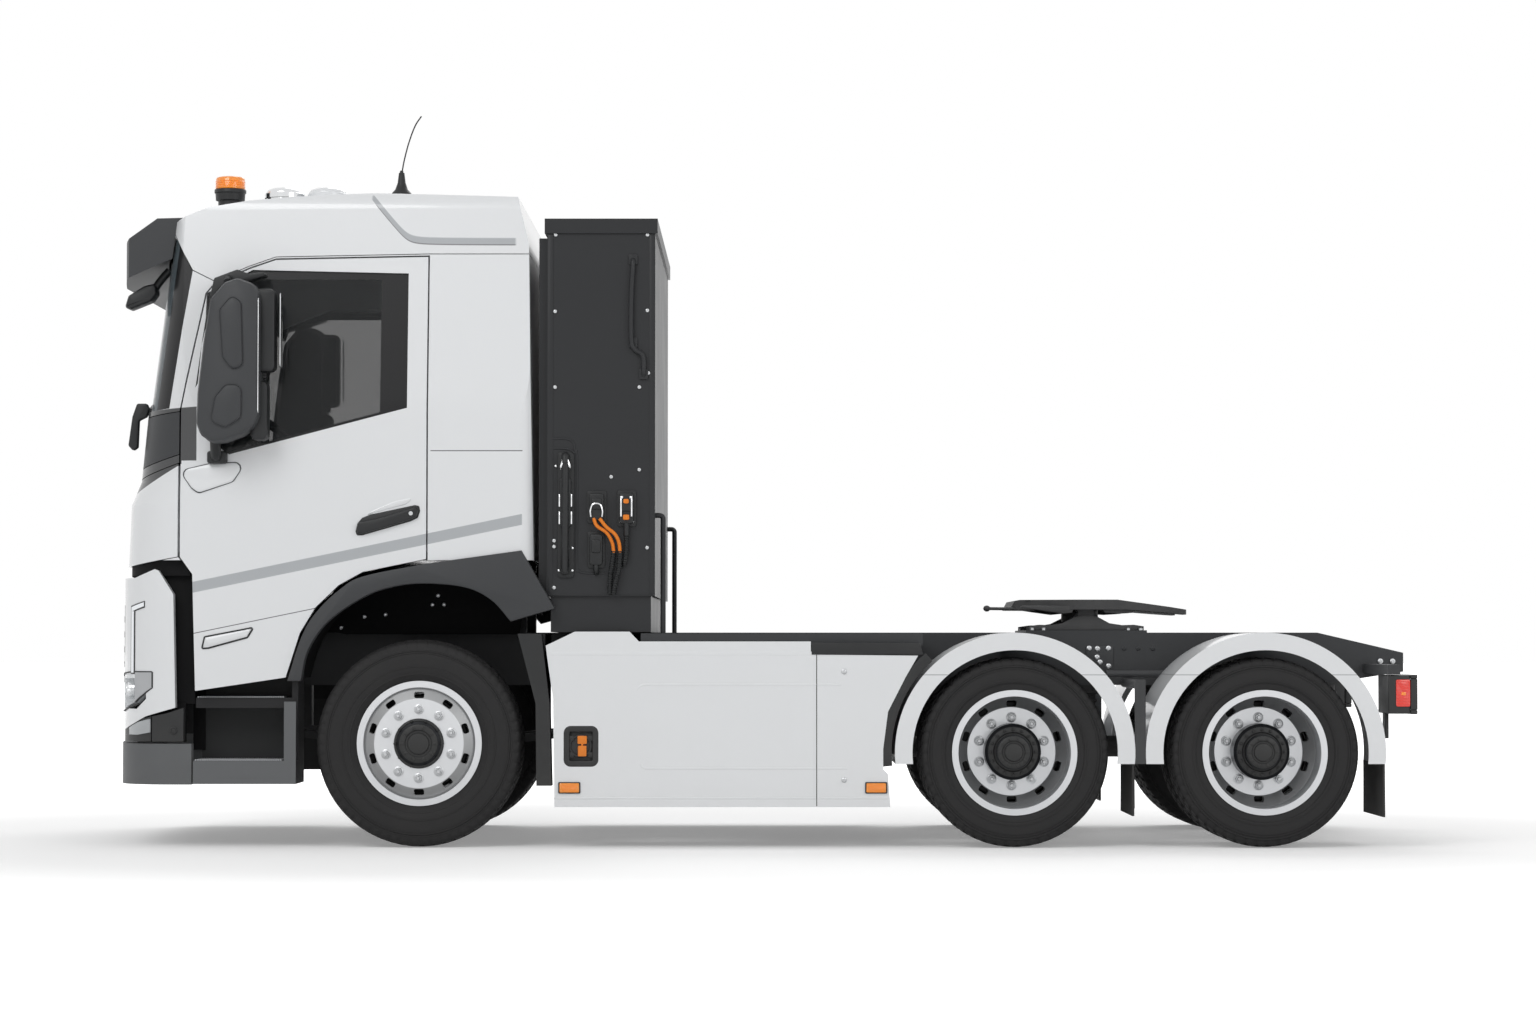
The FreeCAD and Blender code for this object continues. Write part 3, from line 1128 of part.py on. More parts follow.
def cab():
    """The hollow cab: a lined cage with floor and rear wall, and the panels and glass that close it."""
    skin, gap = d.cab_wall, d.panel_gap
    whole = cab_solid("cab_whole", skin * 0)
    within = cab_solid("cab_within", skin)
    hollow = cab_solid("cab_hollow", skin + d.floor_wall * 0.6)
    behind_door = cab_solid("cab_behind_door", skin - d.seat_gap)
    glass_out = cab_solid("cab_glass_out", d.glass_depth)
    glass_in = cab_solid("cab_glass_in", d.glass_depth + d.glass_wall)
    skins = cut("cab_skins", whole, within)
    door_skins = cut("cab_door_skins", whole, behind_door)
    panes = cut("cab_panes", glass_out, glass_in)

    doorway = region("doorway", DOOR_SHARES)
    door_hole = region("door_hole", DOOR_SHARES, d.floor_wall)
    window = region("window", WINDOW_SHARES)
    screen = region("screen", WINDSCREEN_SHARES)
    roof_zone = region("roof_zone", ROOF_REGION_SHARES)
    front_zone = region("front_zone", FRONT_PANEL_SHARES)
    cowl_zone = region("cowl_zone", COWL_SHARES)
    lining = cut("cab_lining", within, hollow, door_hole)
    floor = common("cab_floor_slab", within, block("floor_zone", (d.nose * 1.1, -d.half_width, d.cab_floor),
                                                   (d.cab_length * 1.5, d.half_width * 2, d.floor_wall)))
    under = prism("under_zone", "XZ", [(d.nose * 1.1, 0 * d.cab_floor), (rail_rear, 0 * d.cab_floor),
                                       (rail_rear, d.cab_floor), (d.nose * 1.1, d.cab_floor)],
                  -d.half_width * 1.2, d.half_width * 2.4)
    sides = cut("cab_sides", skins, doorway, roof_zone, front_zone, cowl_zone)
    cage = fuse("cab_cage", sides, lining, floor)
    body = cut("cab_body", cage, under, screen)
    node("cab_shell", body)
    node("cab_roof", common("roof_piece", skins, region("roof_inner_zone", ROOF_REGION_SHARES, gap / 2)))
    node("front_panel", cut("front_panel_piece",
                            common("front_panel_skin", skins, region("front_inner_zone", FRONT_PANEL_SHARES, gap / 2)),
                            doorway))
    cowl_skin = common("cowl_skin", skins, region("cowl_inner_zone", COWL_SHARES, gap / 2))
    node("cowl_panel", cut("cowl_piece", cowl_skin, doorway))
    node("windscreen", cut("windscreen_piece",
                           common("windscreen_pane", panes, region("screen_inner_zone", WINDSCREEN_SHARES, d.glass_fit)),
                           roof_zone))
    left_half = half_space("left_half", LEFT)
    panel = cut("door_panel", common("door_skin", door_skins, region("door_inner_zone", DOOR_SHARES, gap)), window)
    pair("door", common("door_left_piece", panel, left_half))
    pane = common("door_pane", panes, region("window_inner_zone", WINDOW_SHARES, d.glass_fit))
    pair("door_glass", common("door_glass_left_piece", pane, left_half))
    mirrors(whole)
    visor(whole)
    flare = prism("flare_band", "XZ", cab_points(FLARE_OUTER_SHARES + FLARE_INNER_SHARES), -d.flare_face,
                  d.flare_face - d.flare_inner)
    node("arch_flares", both("flare_pair", cut("flare_piece", flare, whole)))
    roof_fittings(whole)
    interior(hollow)


def mirrors(whole):
    """A tall mirror housing with a smaller one behind it, held off the door by two arms."""
    inner, wide = d.mirror_inner, d.mirror_width
    main = prism("mirror_main", "XZ", [(*p, d.mirror_wall) for p in cab_points(MIRROR_SHARES)], -inner - wide, wide)
    small = prism("mirror_small", "XZ", [(*p, d.mirror_wall / 2) for p in cab_points(SMALL_MIRROR_SHARES)],
                  -inner - wide * 0.9, wide * 0.7)
    x = d.cab_nose + d.cab_length * 0.28
    arms = []
    for i, share in enumerate((0.805, 0.54)):
        arms.append(rod(f"mirror_arm_{i}", "y", (x, -inner - d.mirror_wall, d.cab_base + d.cab_height * share),
                        d.mirror_arm_radius, d.mirror_width))
    link = block("mirror_link", (d.cab_nose + d.cab_length * 0.345, -inner - wide * 0.6, d.cab_base + d.cab_height * 0.7),
                 (d.mirror_wall, d.mirror_wall, d.mirror_wall))
    solid = fuse("mirror_solid", main, small, link, *arms)
    pair("mirror", cut("mirror_piece", solid, whole))


def visor(whole):
    """The sun visor: a bent sheet with closed ends over the top of the windscreen."""
    half = d.half_width * 0.86
    shell = prism("visor_blank", "XZ", cab_points(VISOR_SHARES), -half, half * 2)
    inside = prism("visor_inside", "XZ", cab_points(VISOR_INNER_SHARES), -half + d.mirror_wall,
                   (half - d.mirror_wall) * 2)
    rear = d.cab_nose + d.cab_length / 2
    plan = prism("visor_plan", "XY", nose_outline(d.cab_nose - d.visor_wall * 2, rear, d.half_width), d.waist_height,
                 d.cab_height)
    inner_plan = prism("visor_inner_plan", "XY",
                       nose_outline(d.cab_nose, rear, d.half_width, d.visor_wall * 2), d.waist_height, d.cab_height)
    hollow = common("visor_hollow", inside, inner_plan)
    node("sun_visor", cut("visor_piece", common("visor_shape", shell, plan), hollow, whole))


def roof_fittings(whole):
    """The beacon, the two domes and the antenna on the roof."""
    top = d.roof_edge_height - d.beacon_height
    beacon = rod("beacon_lamp", "z", (d.beacon_place, -d.beacon_offset, top), d.beacon_radius, d.beacon_height * 3)
    domes = []
    for i, place in enumerate((d.dome_place, d.second_dome_place)):
        dome = doc.addObject("Part::Sphere", f"roof_dome_{i}")
        bind(dome, "Radius", d.dome_radius)
        domes.append(shift(dome, place, -d.beacon_offset, top + d.tail_beam))
    base = doc.addObject("Part::Cone", "antenna_base")
    bind(base, "Radius1", d.antenna_radius)
    bind(base, "Radius2", d.antenna_radius / 5)
    bind(base, "Height", d.antenna_radius * 3)
    shift(base, d.antenna_place, -d.beacon_offset, top + d.beacon_height * 0.5)
    mast = rod("antenna_mast", "z", (d.antenna_place, -d.beacon_offset, top + d.beacon_height), d.antenna_radius / 9,
               d.antenna_height)
    node("roof_fittings", cut("roof_fittings_piece", fuse("fittings", beacon, *domes, fuse("antenna", base, mast)),
                              whole))


def interior(hollow):
    """The dashboard, two seats and the hand wheel that show through the glass."""
    half = d.half_width - d.cab_wall - d.floor_wall
    dash = common("dash_piece", prism("dash_blank", "XZ", cab_points(DASH_SHARES), -half, half * 2), hollow)
    wide = d.seat_width
    seat = prism("seat_blank", "XZ", [(*p, d.mirror_wall) for p in cab_points(SEAT_SHARES)], -half + d.cross_width, wide)
    node("seats", both("seat_pair", seat))
    wheel = doc.addObject("Part::Torus", "hand_wheel_ring")
    bind(wheel, "Radius1", d.hand_wheel_radius)
    bind(wheel, "Radius2", d.hand_wheel_tube)
    column = doc.addObject("Part::Cylinder", "hand_wheel_column")
    bind(column, "Radius", d.column_radius)
    bind(column, "Height", d.hand_wheel_radius * 1.3)
    shift(column, 0, 0, -d.hand_wheel_radius * 1.3)
    spokes = [block("hand_wheel_spoke_x", (-d.hand_wheel_radius, -d.hand_wheel_tube, -d.hand_wheel_tube / 2),
                    (d.hand_wheel_radius * 2, d.hand_wheel_tube * 2, d.hand_wheel_tube)),
              block("hand_wheel_spoke_y", (-d.hand_wheel_tube, -d.hand_wheel_radius, -d.hand_wheel_tube / 2),
                    (d.hand_wheel_tube * 2, d.hand_wheel_radius * 2, d.hand_wheel_tube))]
    whole = group("hand_wheel_placed", fuse("hand_wheel_piece", wheel, column, *spokes))
    whole.Placement = FreeCAD.Placement(V(0, 0, 0), FreeCAD.Rotation(V(0, 1, 0), 35))
    shift(whole, d.cab_nose + d.cab_length * 0.33, -half + d.cross_width + wide / 2,
          d.cab_base + d.cab_height * 0.55)
    node("dashboard", fuse("dash_and_wheel", dash, whole))


def cab_mounts():
    """The tilt bearings at the front of the frame, the arms that turn on them, and the rear rest posts."""
    x, z, wide = d.tilt_place, d.tilt_height, d.tilt_arm_width
    outer, eye = d.rail_outer - d.rail_wall, d.tilt_eye_radius
    carrier = block("front_carrier", (x, -outer, z - eye), (d.rail_front - d.seat_gap - x, d.tail_beam, eye * 2))
    bearing = rod("tilt_bearing_eye", "y", (x, -outer, z), eye, d.tail_beam)
    reach = outer - d.tail_beam - d.tilt_arm_offset + wide
    pin = rod("tilt_pin", "y", (x, -outer + d.tail_beam / 2, z), d.tilt_pin_radius, reach + d.tail_beam / 2)
    post = block("rest_post", (d.cab_nose + d.cab_length * 0.93, -outer, d.rail_top),
                 (d.tail_beam, d.tail_beam, d.cab_floor - d.rail_top - d.seat_gap))
    node("cab_mounts", both("cab_mount_pair", group("cab_mount_pieces", fuse("tilt_bearing", carrier, bearing, pin),
                                                    post)))
    lean = d.tilt_arm_lean
    arm = prism("tilt_arm", "XZ", [(x - eye * 0.7, z - eye * 1.2, eye / 3), (x + eye, z - eye * 1.2, eye / 3),
                                   (x + lean + eye * 2, d.cab_floor), (x + lean - eye * 0.5, d.cab_floor),
                                   (x - eye * 1.1, z + eye / 2, eye / 3)],
                -d.tilt_arm_offset - wide / 2, wide)
    bore = rod("tilt_bore", "y", (x, -d.tilt_arm_offset - wide, z), d.tilt_pin_radius + d.kingpin_gap, wide * 2)
    node("tilt_arms", both("tilt_arm_pair", cut("tilt_arm_bored", arm, bore)))


def front_hangers():
    """The two stepped posts below the cab that carry the white lower front and the dark inserts."""
    reach = d.hanger_place + d.tail_beam / 2
    face = d.nose + d.lower_front_wall + d.rail_wall + reach * reach / (d.nose_round * 2) + d.seat_gap * 4
    step = d.lower_front_wall * 0.6 + d.seat_gap
    low, top = d.bumper_bottom + d.bumper_height + d.panel_gap, d.cab_front_bottom + d.panel_gap / 2 - d.seat_gap
    ledge = d.lower_front_bottom + d.cross_width
    post = prism("hanger_post", "XZ", [(face + step, low), (face + step + d.tail_beam, low),
                                       (face + step + d.tail_beam, top), (face, top), (face, ledge),
                                       (face + step, ledge)], -reach, d.tail_beam)
    node("front_hangers", both("hanger_pair", post))


wheels()
steering()
front_axle()
frame()
rear_axles()
drive_unit()
battery_tower()
tower_leads()
sides()
rear_guards()
fifth_wheel()
lower_front()
entry_steps()
cab_mounts()
front_hangers()
cab()

doc.recompute()
failed = [thing.Label for thing in doc.Objects if {"Invalid", "Error"} & set(thing.State)]
if failed:
    raise SystemExit(f"not built: {failed}")
for piece in nodes:
    shape = piece.Shape
    if shape.isNull() or not shape.isValid() or not shape.Solids:
        raise SystemExit(f"no valid solid: {piece.Label}")

os.makedirs("parts", exist_ok=True)
for piece in nodes:
    piece.Shape.exportStep(f"parts/{piece.Label}.step")
    box = piece.Shape.BoundBox
    print(f"{piece.Label}: {len(piece.Shape.Solids)} solids, x {box.XMin:.0f} {box.XMax:.0f},"
          f" y {box.YMin:.0f} {box.YMax:.0f}, z {box.ZMin:.0f} {box.ZMax:.0f}")
print(len(nodes), "nodes")
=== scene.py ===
"""The looks of a battery-electric semi truck tractor: finishes, wheels, lamps, trim and small fittings."""
import math

import bpy
import numpy as np
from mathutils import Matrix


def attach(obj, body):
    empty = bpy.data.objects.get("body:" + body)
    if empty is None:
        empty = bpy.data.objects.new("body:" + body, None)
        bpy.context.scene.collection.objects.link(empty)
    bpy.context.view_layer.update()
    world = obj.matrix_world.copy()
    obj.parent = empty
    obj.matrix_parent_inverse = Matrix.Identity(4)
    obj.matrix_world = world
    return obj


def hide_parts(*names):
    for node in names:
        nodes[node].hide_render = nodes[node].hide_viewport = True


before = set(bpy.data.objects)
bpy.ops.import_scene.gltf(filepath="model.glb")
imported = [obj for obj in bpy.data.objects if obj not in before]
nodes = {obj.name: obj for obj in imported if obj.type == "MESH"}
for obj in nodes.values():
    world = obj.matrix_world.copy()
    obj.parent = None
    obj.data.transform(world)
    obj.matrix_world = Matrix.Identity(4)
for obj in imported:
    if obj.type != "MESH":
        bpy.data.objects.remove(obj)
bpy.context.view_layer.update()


def look_from():
    """The photograph's view: square to the truck's left side, from far off, a little above knee height."""
    camera = bpy.data.cameras.new("viewpoint")
    camera.lens, camera.sensor_width = 89, 36
    camera.clip_end = 200
    stand = bpy.data.objects.new("viewpoint", camera)
    stand.location = (0.02, -19.72, 0.989)
    stand.rotation_euler = (math.radians(92.0), 0, 0)
    bpy.context.scene.collection.objects.link(stand)
    bpy.context.scene.camera = stand


look_from()


# Shells: points and faces as whole arrays

def grid(points, wrap_across=False, wrap_along=False):
    """A sheet over a grid of points (rows, columns, 3), each face between four neighbours."""
    rows, columns = points.shape[:2]
    index = np.arange(rows * columns).reshape(rows, columns)
    if wrap_across:
        index = np.concatenate([index, index[:, :1]], axis=1)
    if wrap_along:
        index = np.concatenate([index, index[:1]], axis=0)
    faces = np.stack([index[:-1, :-1], index[:-1, 1:], index[1:, 1:], index[1:, :-1]], axis=-1)
    return points.reshape(-1, 3), [faces.reshape(-1, 4)]


def joined(*shells):
    """One shell of several: the later faces count on from the points before them."""
    points, faces, count = [], [], 0
    for shell_points, shell_faces in shells:
        points.append(shell_points)
        faces += [part + count for part in shell_faces]
        count += len(shell_points)
    return np.concatenate(points), faces


def turned_over(shell):
    """The same shell with each face's corners in the opposite order."""
    return shell[0], [part[:, ::-1] for part in shell[1]]


def moved(shell, x, y, z):
    return shell[0] + [x, y, z], shell[1]


def at_places(shell, places, angles=None, axis=1):
    """Copies of a shell: each is turned about an axis by its angle, then moved to its place."""
    places = np.atleast_2d(np.asarray(places, float))
    angles = np.zeros(len(places)) if angles is None else np.asarray(angles, float)
    u, v = [(1, 2), (2, 0), (0, 1)][axis]
    points = np.repeat(shell[0][None], len(places), axis=0)
    cosine, sine = np.cos(angles)[:, None], np.sin(angles)[:, None]
    turned = points.copy()
    turned[..., u] = cosine * points[..., u] - sine * points[..., v]
    turned[..., v] = sine * points[..., u] + cosine * points[..., v]
    turned += places[:, None]
    shift = (np.arange(len(places)) * len(shell[0]))[:, None, None]
    return turned.reshape(-1, 3), [(part[None] + shift).reshape(-1, part.shape[1]) for part in shell[1]]


def facing(shell, axis, sign):
    """A shell made along +Z, laid so that its Z runs along the given axis and sign, its handedness kept."""
    x, y, z = shell[0].T
    points = {(0, 1): (z, x, y), (0, -1): (-z, -x, y), (1, 1): (y, z, x), (1, -1): (x, -z, y),
              (2, -1): (x, -y, -z)}[(axis, sign)]
    return np.stack(points, axis=1), shell[1]


def other_side(shell):
    """The shell's mirror image on the truck's other side."""
    return turned_over((shell[0] * [1, -1, 1], shell[1]))


def across(*shells):
    """The shells and their mirror image."""
    shell = joined(*shells)
    return joined(shell, other_side(shell))


def smooth_line(points, steps=8):
    """A line through every given point, of cubics whose slopes are half the step between neighbours."""
    p = np.asarray(points, float)
    ends = np.concatenate([2 * p[:1] - p[1:2], p, 2 * p[-1:] - p[-2:-1]])
    before, p, after, last = (a[:, None] for a in (ends[:-3], ends[1:-2], ends[2:-1], ends[3:]))
    t = (np.arange(steps) / steps)[None, :, None]
    line = 0.5 * (2 * p + (after - before) * t + (2 * before - 5 * p + 4 * after - last) * t ** 2
                  + (3 * p - before - 3 * after + last) * t ** 3)
    return np.concatenate([line.reshape(-1, line.shape[-1]), np.asarray(points, float)[-1:]])


def rounded(corners, radius, steps=5, most=0.49):
    """A closed outline whose corners are true arcs: a blend of each corner's two tangent points and the
    corner itself, weighed by the sine of half its angle."""
    p = np.asarray(corners, float)
    back, ahead = np.roll(p, 1, 0) - p, np.roll(p, -1, 0) - p
    back_length, ahead_length = np.linalg.norm(back, axis=1), np.linalg.norm(ahead, axis=1)
    cosine = np.clip((back * ahead).sum(1) / back_length / ahead_length, -0.999, 0.999)
    reach = np.asarray(radius) / np.tan(np.arccos(cosine) / 2)
    reach = np.minimum(reach, most * np.minimum(back_length, ahead_length))[:, None]
    start, end = p + back / back_length[:, None] * reach, p + ahead / ahead_length[:, None] * reach
    t = np.linspace(0, 1, steps)[None, :, None]
    pull = 2 * t * (1 - t) * np.sin(np.arccos(cosine) / 2)[:, None, None]
    arc = (1 - t) ** 2 * start[:, None] + pull * p[:, None] + t ** 2 * end[:, None]
    return (arc / ((1 - t) ** 2 + pull + t ** 2)).reshape(-1, 2)


def anticlockwise(outline):
    x, y = np.asarray(outline, float).T
    return outline if (x * np.roll(y, -1) - y * np.roll(x, -1)).sum() > 0 else outline[::-1]


def inset(outline, distance):
    """The outline moved inwards: each point goes along the mean of its two edges' normals."""
    edge = np.roll(outline, -1, 0) - outline
    edge = edge / np.maximum(np.linalg.norm(edge, axis=1), 1e-9)[:, None]
    normal = np.stack([-edge[:, 1], edge[:, 0]], axis=1)
    mean = normal + np.roll(normal, 1, 0)
    return outline + mean / np.maximum((mean ** 2).sum(1), 0.5)[:, None] * 2 * distance


def end_caps(count, rings):
    """The two flat faces that close a stack of rings of so many points."""
    first = np.arange(count)
    return [first[::-1][None], (first + (rings - 1) * count)[None]]


def slab(outline, low, high, edge=0.003):
    """A plate along +Z on a closed outline: rings at the foot, side and bevelled top, and two flat caps."""
    outline = anticlockwise(np.asarray(outline, float))
    levels = [(edge, low), (0, low + edge), (0, high - edge), (edge * 0.3, high - edge * 0.3), (edge, high)]
    rings = np.stack([np.column_stack([inset(outline, gap), np.full(len(outline), z)]) for gap, z in levels])
    points, faces = grid(rings, wrap_across=True)
    return points, faces + end_caps(len(outline), len(levels))


def circle(steps):
    """Points round a circle of radius one."""
    turn = np.arange(steps) / steps * 2 * math.pi
    return np.column_stack([np.cos(turn), np.sin(turn)])


def lathe(profile, steps=48):
    """A round body about +Z: the profile's (height, radius) points carried round a circle."""
    height, radius = np.asarray(profile, float).T
    cosine, sine = circle(steps).T
    points = np.stack([np.outer(radius, cosine), np.outer(radius, sine),
                       np.repeat(height[:, None], steps, axis=1)], axis=-1)
    return grid(points, wrap_across=True)


def swept(path, section, closed=False, scale=None):
    """A section carried along a path: each ring stands across it, its first axis square to one side."""
    path, section = np.asarray(path, float), np.asarray(section, float)
    ahead = np.roll(path, -1, 0) - np.roll(path, 1, 0) if closed else np.gradient(path, axis=0)
    ahead /= np.linalg.norm(ahead, axis=1)[:, None]
    side = np.zeros(3)
    side[int(np.argmin(np.ptp(path, axis=0)))] = 1
    first = np.cross(side, ahead)
    first /= np.linalg.norm(first, axis=1)[:, None]
    second = np.cross(ahead, first)
    size = np.ones(len(path)) if scale is None else np.asarray(scale, float)
    rings = path[:, None] + size[:, None, None] * (section[None, :, :1] * first[:, None]
                                                   + section[None, :, 1:] * second[:, None])
    points, faces = grid(rings, wrap_across=True, wrap_along=closed)
    return points, faces if closed else faces + end_caps(len(section), len(path))


def tube(points, radius, steps=8, sides=12):
    """A round tube along a smooth line through the given points."""
    return swept(smooth_line(points, steps), circle(sides) * radius)


def box_outline(low, high):
    return np.array([(low[0], low[1]), (high[0], low[1]), (high[0], high[1]), (low[0], high[1])], float)


def block(low, high, edge, corner):
    """A rounded box from its two corners: a slab on its rounded plan."""
    return slab(rounded(box_outline(low[:2], high[:2]), corner), low[2], high[2], edge)


def side_plate(outline, depth, face, edge=0.003, corner=None):
    """A plate on the truck's left side: an (x, z) outline with its back at y = face, as thick as depth."""
    points, faces = slab(outline if corner is None else rounded(outline, corner), 0, depth, edge)
    x, z, out = points.T
    return np.column_stack([x, face - out, z]), faces


def bar(low, high, depth, face, edge=0.003, corner=None):
    """A rectangular side plate between two corners in (x, z)."""
    return side_plate(box_outline(low, high), depth, face, edge, corner)


def piece(name, shell, finish, body, crease=38, replaces=()):
    """A finished object: its mesh from the shell's arrays, smooth but for edges sharper than the crease."""
    points, parts = shell
    mesh = bpy.data.meshes.new(name)
    loops = np.concatenate([part.reshape(-1) for part in parts])
    sizes = np.concatenate([np.full(len(part), part.shape[1]) for part in parts])
    mesh.vertices.add(len(points))
    mesh.vertices.foreach_set("co", points.astype(np.float32).reshape(-1))
    mesh.loops.add(len(loops))
    mesh.loops.foreach_set("vertex_index", loops.astype(np.int32))
    mesh.polygons.add(len(sizes))
    mesh.polygons.foreach_set("loop_start", (np.cumsum(sizes) - sizes).astype(np.int32))
    mesh.update(calc_edges=True)
    mesh.validate()
    mesh.shade_smooth()
    mesh.set_sharp_from_angle(angle=math.radians(crease))
    mesh.materials.append(finish)
    thing = bpy.data.objects.new(name, mesh)
    bpy.context.scene.collection.objects.link(thing)
    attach(thing, body)
    if replaces:
        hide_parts(*replaces)
    return thing


# Finishes

class Value:
    """A shader socket: arithmetic on it adds Math nodes to its finish."""

    def __init__(self, finish, socket):
        self.finish, self.socket = finish, socket

    def maths(self, operation, *others, **settings):
        inputs = dict(enumerate((self, *others)))
        return self.finish.add("ShaderNodeMath", {"operation": operation, **settings}, inputs)

    def __add__(self, other):
        return self.maths("ADD", other)

    def __sub__(self, other):
        return self.maths("SUBTRACT", other)

    def __rsub__(self, other):
        return self.finish.add("ShaderNodeMath", {"operation": "SUBTRACT"}, {0: other, 1: self})

    def __mul__(self, other):
        return self.maths("MULTIPLY", other)

    def size(self):
        return self.maths("ABSOLUTE")

    def most(self, other):
        return self.maths("MAXIMUM", other)

    def above(self, level, blur=0.001):
        """Nought below the level and one above it, with a short ramp of the blur's width."""
        return self.maths("SUBTRACT", level).maths("DIVIDE", blur).maths("ADD", 0.5, use_clamp=True)

    def between(self, low, high, blur=0.001):
        return self.above(low, blur) * (1 - self.above(high, blur))

    def near(self, other, distance, blur=0.001):
        return 1 - (self - other).size().above(distance, blur)


class Finish:
    """One material: a principled shader and the nodes that feed it."""

    def __init__(self, name, colour, roughness, metallic=0.0, coat=0.0, **sockets):
        self.material = bpy.data.materials.new(name)
        self.material.use_nodes = True
        self.tree = self.material.node_tree
        self.shader = self.tree.nodes["Principled BSDF"]
        self.colour, self.roughness = (*colour, 1), roughness
        self.set("Base Color", self.colour)
        self.set("Roughness", roughness)
        self.set("Metallic", metallic)
        self.set("Coat Weight", coat)
        if coat:
            self.set("Coat Roughness", 0.06)
        for key, value in sockets.items():
            self.set(key.replace("_", " ").title().replace("Ior", "IOR"), value)
        self.spot = None
        self.bumps = []

    def set(self, key, value):
        if isinstance(value, Value):
            self.tree.links.new(value.socket, self.shader.inputs[key])
        else:
            self.shader.inputs[key].default_value = value

    def add(self, kind, settings=None, inputs=None, out=0):
        node = self.tree.nodes.new(kind)
        for key, value in (settings or {}).items():
            setattr(node, key, value)
        for key, value in (inputs or {}).items():
            if isinstance(value, Value):
                self.tree.links.new(value.socket, node.inputs[key])
            else:
                node.inputs[key].default_value = value
        return Value(self, node.outputs[out])

    def where(self):
        """The point on the object, as a vector and as its three parts."""
        if self.spot is None:
            vector = self.add("ShaderNodeTexCoord", out="Object")
            split = self.add("ShaderNodeSeparateXYZ", inputs={0: vector})
            self.spot = (vector, *(Value(self, part) for part in split.socket.node.outputs))
        return self.spot

    def noise(self, scale, detail=3, rough=0.55):
        return self.add("ShaderNodeTexNoise",
            inputs={"Vector": self.where()[0], "Scale": scale, "Detail": detail, "Roughness": rough})

    def mix(self, amount, first, second):
        first, second = ((*c, 1) if isinstance(c, tuple) and len(c) == 3 else c for c in (first, second))
        return self.add("ShaderNodeMix", {"data_type": "RGBA"}, {0: amount, 6: first, 7: second}, out=2)

    def paint(self, amount, colour, roughness=None):
        """Lays a colour, and a roughness if one is given, over what is there, where the amount is one."""
        self.colour = self.mix(amount, self.colour, colour)
        self.set("Base Color", self.colour)
        if roughness is not None:
            self.roughness = amount * (roughness - self.roughness) + self.roughness
            self.set("Roughness", self.roughness)

    def bump(self, height, distance):
        """Raises the surface by the height times a distance in metres, on top of earlier bumps."""
        inputs = {"Height": height, "Distance": distance, "Strength": 1.0}
        if self.bumps:
            inputs["Normal"] = self.bumps[-1]
        self.bumps.append(self.add("ShaderNodeBump", inputs=inputs))
        self.set("Normal", self.bumps[-1])


def speckle(finish, scale, distance, change=0.06):
    """Fine grain: a small bump, and a small change of roughness with a broad noise."""
    finish.bump(finish.noise(scale, 2), distance)
    finish.roughness = finish.noise(3.0, 4) * change + (finish.roughness - change / 2)
    finish.set("Roughness", finish.roughness)
    return finish


def road_dust(finish, top, amount=0.18):
    """The finish's material under a thin dust that grows towards the road, broken up by noise."""
    height = finish.where()[3]
    depth = (1 - height.above(top * 0.5, top)) * finish.noise(4.5, 6, 0.65) * amount
    finish.paint(depth, (0.42, 0.4, 0.37), 0.75)
    return finish.material


def wave_peel(finish):
    """The faint orange peel of sprayed paint."""
    finish.bump(finish.noise(55, 2), 0.00018)


WHITE = (0.8, 0.815, 0.83)
# Grey of the side stripe, also used as painted shade in the roof groove.
STRIPE_AND_GROOVE_SHADE_GREY = (0.42, 0.44, 0.46)
ANTHRACITE = (0.042, 0.044, 0.047)
STRIPE_FOOT, STRIPE_TOP = (-2.785, 1.2665), (-1.183, 1.5975)
SIDE_Y = 1.1


def body_paint():
    """White paint with a clear coat; the grey stripe, seams, black trim, darkened inner faces and the
    painted shade in the roof groove are masks on the point's x, y and z.
    """
    finish = Finish("white_paint", WHITE, 0.28, coat=0.7)
    _, x, y, z = finish.where()
    side = y.size().above(SIDE_Y, 0.01)
    slope = (STRIPE_TOP[1] - STRIPE_FOOT[1]) / (STRIPE_TOP[0] - STRIPE_FOOT[0])
    line = (x - STRIPE_FOOT[0]) * slope + STRIPE_FOOT[1]
    stripe = z.near(line, 0.0265, 0.003) * x.between(-2.792, -1.178, 0.003) * side
    finish.paint(stripe, STRIPE_AND_GROOVE_SHADE_GREY, 0.3)
    seam = z.near((x + 2.781) * 0.2063 + 1.042, 0.002, 0.002) * x.between(-2.781, -2.15, 0.003)
    seam = seam.most(z.near(1.933, 0.0022, 0.002) * x.between(-1.624, -1.176, 0.003))
    # The roof groove: its grey band and the darker line along its lower edge are painted shade of the
    # recessed step.
    run = x + 1.745
    course = ((run * run + 0.0016).maths("SQRT") - run) * 0.62 + 2.964
    groove = z.near(course, 0.017, 0.005) * x.between(-1.925, -1.217, 0.01) * side
    finish.paint(groove, STRIPE_AND_GROOVE_SHADE_GREY, 0.3)
    finish.paint(z.near(course - 0.017, 0.003, 0.002) * x.between(-1.905, -1.217, 0.01) * side,
        (0.2, 0.2, 0.21), 0.4)
    finish.paint(seam * side, (0.05, 0.05, 0.055), 0.5)
    cowl = z.above((x + 2.84) * 0.56 + 1.868, 0.003) * (1 - x.above(-2.838, 0.001))
    corner = x.between(-2.87, -2.764, 0.003) * z.above(1.885, 0.003) * side
    lower = 1 - z.above((x + 2.84) * 0.06 + 2.144, 0.003)
    finish.paint(cowl.most(corner) * lower, (0.022, 0.023, 0.025), 0.42)
    within = (1 - y.size().above(1.18, 0.002)) * x.between(-2.975, -1.135, 0.01) * (1 - z.above(1.44, 0.01))
    finish.paint(within, (0.02, 0.02, 0.022), 0.7)
    wave_peel(finish)
    return road_dust(finish, 1.2, 0.07)


